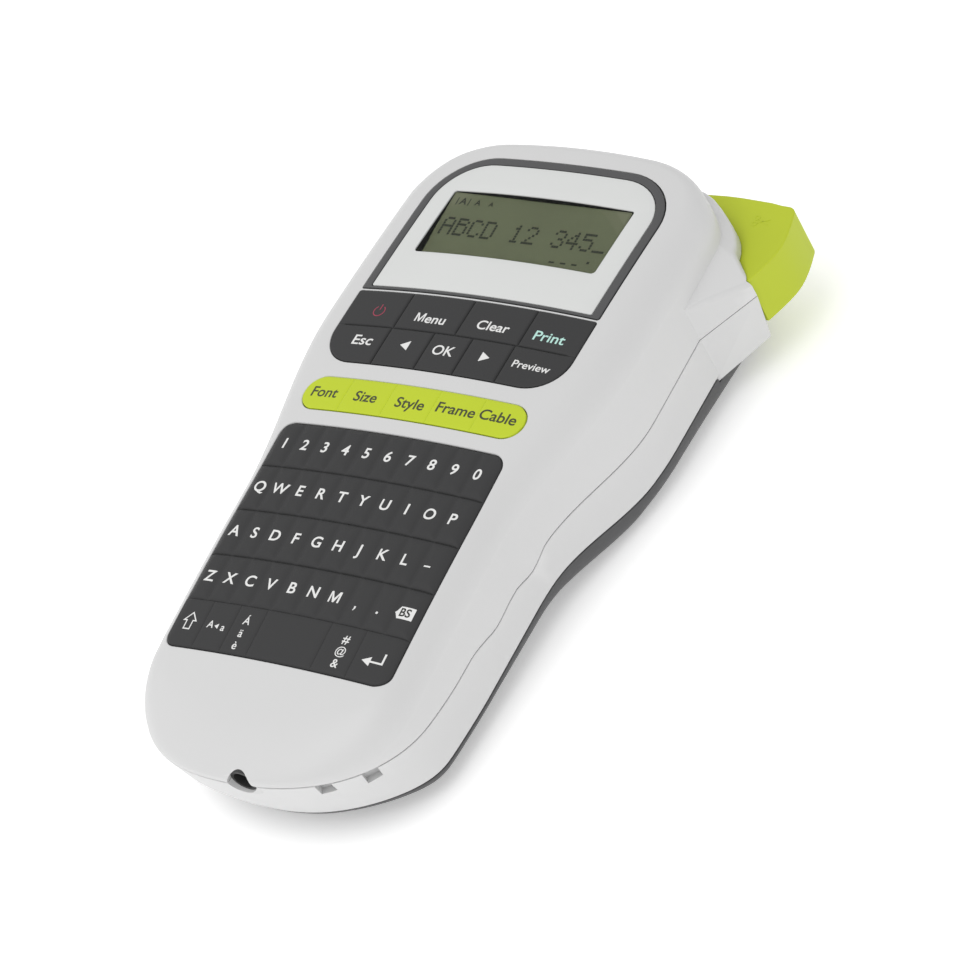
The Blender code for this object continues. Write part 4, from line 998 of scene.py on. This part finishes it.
def lcd_face():
    work = prism(rounded(*LCD, grow=-0.5), LCD_LEVEL - 1.0, LCD_LEVEL)
    return place("lcd_face", work, "housing", LOOKS["lcd_olive"], ["lcd_module"], 40.0)


def lcd_pane():
    """Clear window, a thin curved sheet."""
    pane = bmesh.new()
    points, loops, triangles = plate_triangles(rounded(*LCD, grow=-0.3), [], 4.0)
    for level in (-0.6, -0.9):
        layer = [pane.verts.new((p.x, p.y, skin_z(p.x, p.y) + level)) for p in points]
        for triangle in triangles:
            pane.faces.new([layer[k] for k in triangle])
    pane.verts.ensure_lookup_table()
    upper, lower = ([pane.verts[k + start] for k in loops[0]] for start in (0, len(points)))
    join_rings(pane, [upper, lower])
    bmesh.ops.recalc_face_normals(pane, faces=pane.faces)
    place("lcd_pane", pane, "housing", LOOKS["window_clear"], ["display_window"], 40.0)


lcd_well_painted_shade()
lcd_face()
lcd_pane()

# 5 by 7 dot characters of a plain letter and number row, and the small marks above and below it
DOTS = {
    "A": "01110 10001 10001 11111 10001 10001 10001",
    "B": "11110 10001 11110 10001 10001 10001 11110",
    "C": "01110 10001 10000 10000 10000 10001 01110",
    "D": "11110 10001 10001 10001 10001 10001 11110",
    "1": "00100 01100 00100 00100 00100 00100 01110",
    "2": "01110 10001 00001 00010 00100 01000 11111",
    "3": "01110 10001 00001 00110 00001 10001 01110",
    "4": "00010 00110 01010 10010 11111 00010 00010",
    "5": "11111 10000 11110 00001 00001 10001 01110",
    " ": "00000 00000 00000 00000 00000 00000 00000",
    "_": "00000 00000 00000 00000 00000 00000 11111",
}


def lcd_marks():
    work = bmesh.new()
    pitch, dot = 0.88, 0.72

    def square(x, y, width, height):
        add_to(work, polygon([(-width / 2, -height / 2), (width / 2, -height / 2),
                              (width / 2, height / 2), (-width / 2, height / 2)]), x, y)

    for place_index, character in enumerate("ABCD 12 345_"):
        for line, bits in enumerate(DOTS[character].split()):
            for column, bit in enumerate(bits):
                if bit == "1":
                    square(-26.6 + place_index * 4.55 + column * 0.76, 82.6 - line * pitch, 0.7, dot)
    for x in (13.0, 16.6, 20.2):
        square(x, 72.2, 1.7, 0.5)
    square(24.0, 73.4, 0.8, 0.8)
    for x, size in ((-24.6, 2.3), (-19.8, 1.8), (-15.4, 1.4)):
        add_to(work, flat_text("A", size * 1.4, 0.06), x, 88.6)
    for x in (-26.6, -22.7):
        square(x, 88.6, 0.28, 2.5)
    return stamp("lcd_marks", work, "housing", PRINT["lcd"], lambda x, y: LCD_LEVEL, 0.04, 0.03, 50.0)


lcd_marks()

# ---------------------------------------------------------------- cutter lever

PLAN_HINGE = (48.0, 83.0)


def lever_outline():
    outer = [(31.0, 115.8), (38.0, 116.1), (45.0, 116.1), (52.0, 115.7), (55.5, 115.2)]
    outer += arc((57.6, 112.2), 2.9, 78.0, 12.0, 7)
    outer += [(61.2, 109.6), (61.7, 106.8), (62.0, 104.0), (62.0, 101.5), (61.6, 98.9), (60.8, 96.3),
              (59.7, 93.4), (58.4, 90.3), (57.8, 89.0), (54.6, 89.0)]
    return outer + arc(PLAN_HINGE, 3.6, 0.0, -180.0, 16) + [(44.2, 91.0), (38.0, 98.0), (31.0, 104.5)]


def lever_piece():
    """Solid arm with a softened outer wall: its front face rolls over a ridge into the side."""
    work = prism(lever_outline(), *LEVER_Z)
    bmesh.ops.bevel(work, geom=[e for e in work.edges if all(v.co.z > LEVER_Z[1] - 0.1 for v in e.verts)
                                and (e.verts[0].co + e.verts[1].co).x / 2 > 44.0
                                and (e.verts[0].co + e.verts[1].co).y / 2 > 89.5],
                    offset=1.6, segments=5, profile=0.5, affect="EDGES", clamp_overlap=True)
    pocket = prism([(20.0, 113.4), (56.6, 113.0), (59.1, 105.0), (59.4, 98.0), (57.3, 92.4),
                    (50.0, 91.0), (40.0, 91.0), (20.0, 104.0)], LEVER_Z[0] + 2.0, LEVER_Z[1] - 2.0)
    work = cut(work, pocket)
    bore = prism(arc(PLAN_HINGE, 1.55, 0.0, 350.0, 35), LEVER_Z[0] - 2.0, LEVER_Z[1] + 2.0)
    work = cut(work, bore)
    soften(work, lambda p: p.z < LEVER_Z[0] + 0.1 or p.y > 112.0, 0.4, 3)
    return place("lever_arm", work, "lever", LOOKS["lever_green"], ["cutter_lever"],
                 38.0, True)


lever_piece()


def lever_icon():
    """Plain raised scissors mark."""
    work = bmesh.new()
    for side in (-1.0, 1.0):
        add_to(work, outline_strip(arc((-1.6, side * 1.05), 0.72, 0, 345, 14), 0.3), 52.0, 109.0)
        blade = [(-1.0, side * 0.7), (0.6, 0.0), (2.4, -side * 0.9)]
        add_to(work, outline_strip(blade, 0.34, False), 52.0, 109.0)
    return stamp("lever_mark", work, "lever", LOOKS["lever_green"], lambda x, y: LEVER_Z[1], 0.10, 0.12, 50.0)


lever_icon()

# ---------------------------------------------------------------- camera, light and floor

camera_data = bpy.data.cameras.new("camera")
camera_data.lens = 165.0
camera_data.sensor_width = 36.0
camera_data.clip_start = 0.05
camera_data.clip_end = 20.0
camera = bpy.data.objects.new("camera", camera_data)
bpy.context.scene.collection.objects.link(camera)
bpy.context.scene.camera = camera
right = Vector((0.8086, 0.4449, -0.3849))
down = Vector((0.1335, -0.776, -0.6165))
centre = Vector((666.8, -496.5, 759.5))
turn3 = REST.to_3x3()
axes = [turn3 @ right, turn3 @ (-down)]
axes[0].normalize()
axes[1] = (axes[1] - axes[0] * axes[1].dot(axes[0])).normalized()
backward = axes[0].cross(axes[1])
pose = Matrix((axes[0], axes[1], backward)).transposed().to_4x4()
camera.matrix_world = Matrix.Translation(REST @ (centre * 0.001)) @ pose


def floor_material():
    made = bpy.data.materials.new("floor")
    made.use_nodes = True
    tree = made.node_tree
    shader = tree.nodes["Principled BSDF"]
    shader.inputs["Roughness"].default_value = 0.9
    shader.inputs["Specular IOR Level"].default_value = 0.1
    cloud = tree.nodes.new("ShaderNodeTexNoise")
    cloud.inputs["Scale"].default_value = 2.0
    tone = tree.nodes.new("ShaderNodeMix")
    tone.data_type = "RGBA"
    tone.inputs["A"].default_value = (0.95, 0.95, 0.95, 1.0)
    tone.inputs["B"].default_value = (0.97, 0.97, 0.97, 1.0)
    tree.links.new(cloud.outputs["Fac"], tone.inputs["Factor"])
    tree.links.new(tone.outputs["Result"], shader.inputs["Base Color"])
    shader.inputs["Emission Color"].default_value = (1.0, 1.0, 1.0, 1.0)
    shader.inputs["Emission Strength"].default_value = 0.3
    return made


floor_mesh = bpy.data.meshes.new("floor")
floor_mesh.from_pydata([(-6, -6, 0), (6, -6, 0), (6, 6, 0), (-6, 6, 0)], [], [(0, 1, 2, 3)])
floor_mesh.materials.append(floor_material())
floor = bpy.data.objects.new("floor", floor_mesh)
floor.location.z = -0.0002
bpy.context.scene.collection.objects.link(floor)

world = bpy.data.worlds.new("studio")
world.use_nodes = True
world.node_tree.nodes["Background"].inputs["Color"].default_value = (1.0, 1.0, 1.0, 1.0)
world.node_tree.nodes["Background"].inputs["Strength"].default_value = 0.70
bpy.context.scene.world = world
bpy.context.scene.view_settings.view_transform = "Standard"


def soft_light(name, spot, target, size, power):
    data = bpy.data.lights.new(name, "AREA")
    data.shape = "DISK"
    data.size = size
    data.energy = power
    made = bpy.data.objects.new(name, data)
    made.location = spot
    made.rotation_euler = (Vector(target) - Vector(spot)).to_track_quat("-Z", "Y").to_euler()
    bpy.context.scene.collection.objects.link(made)


soft_light("main_light", (0.1, -0.8, 1.7), (0.0, -0.05, 0.0), 1.5, 10.0)
soft_light("side_light", (-1.2, -0.2, 1.2), (0.0, -0.05, 0.0), 1.6, 3.0)

# ---------------------------------------------------------------- final update

bpy.context.view_layer.update()
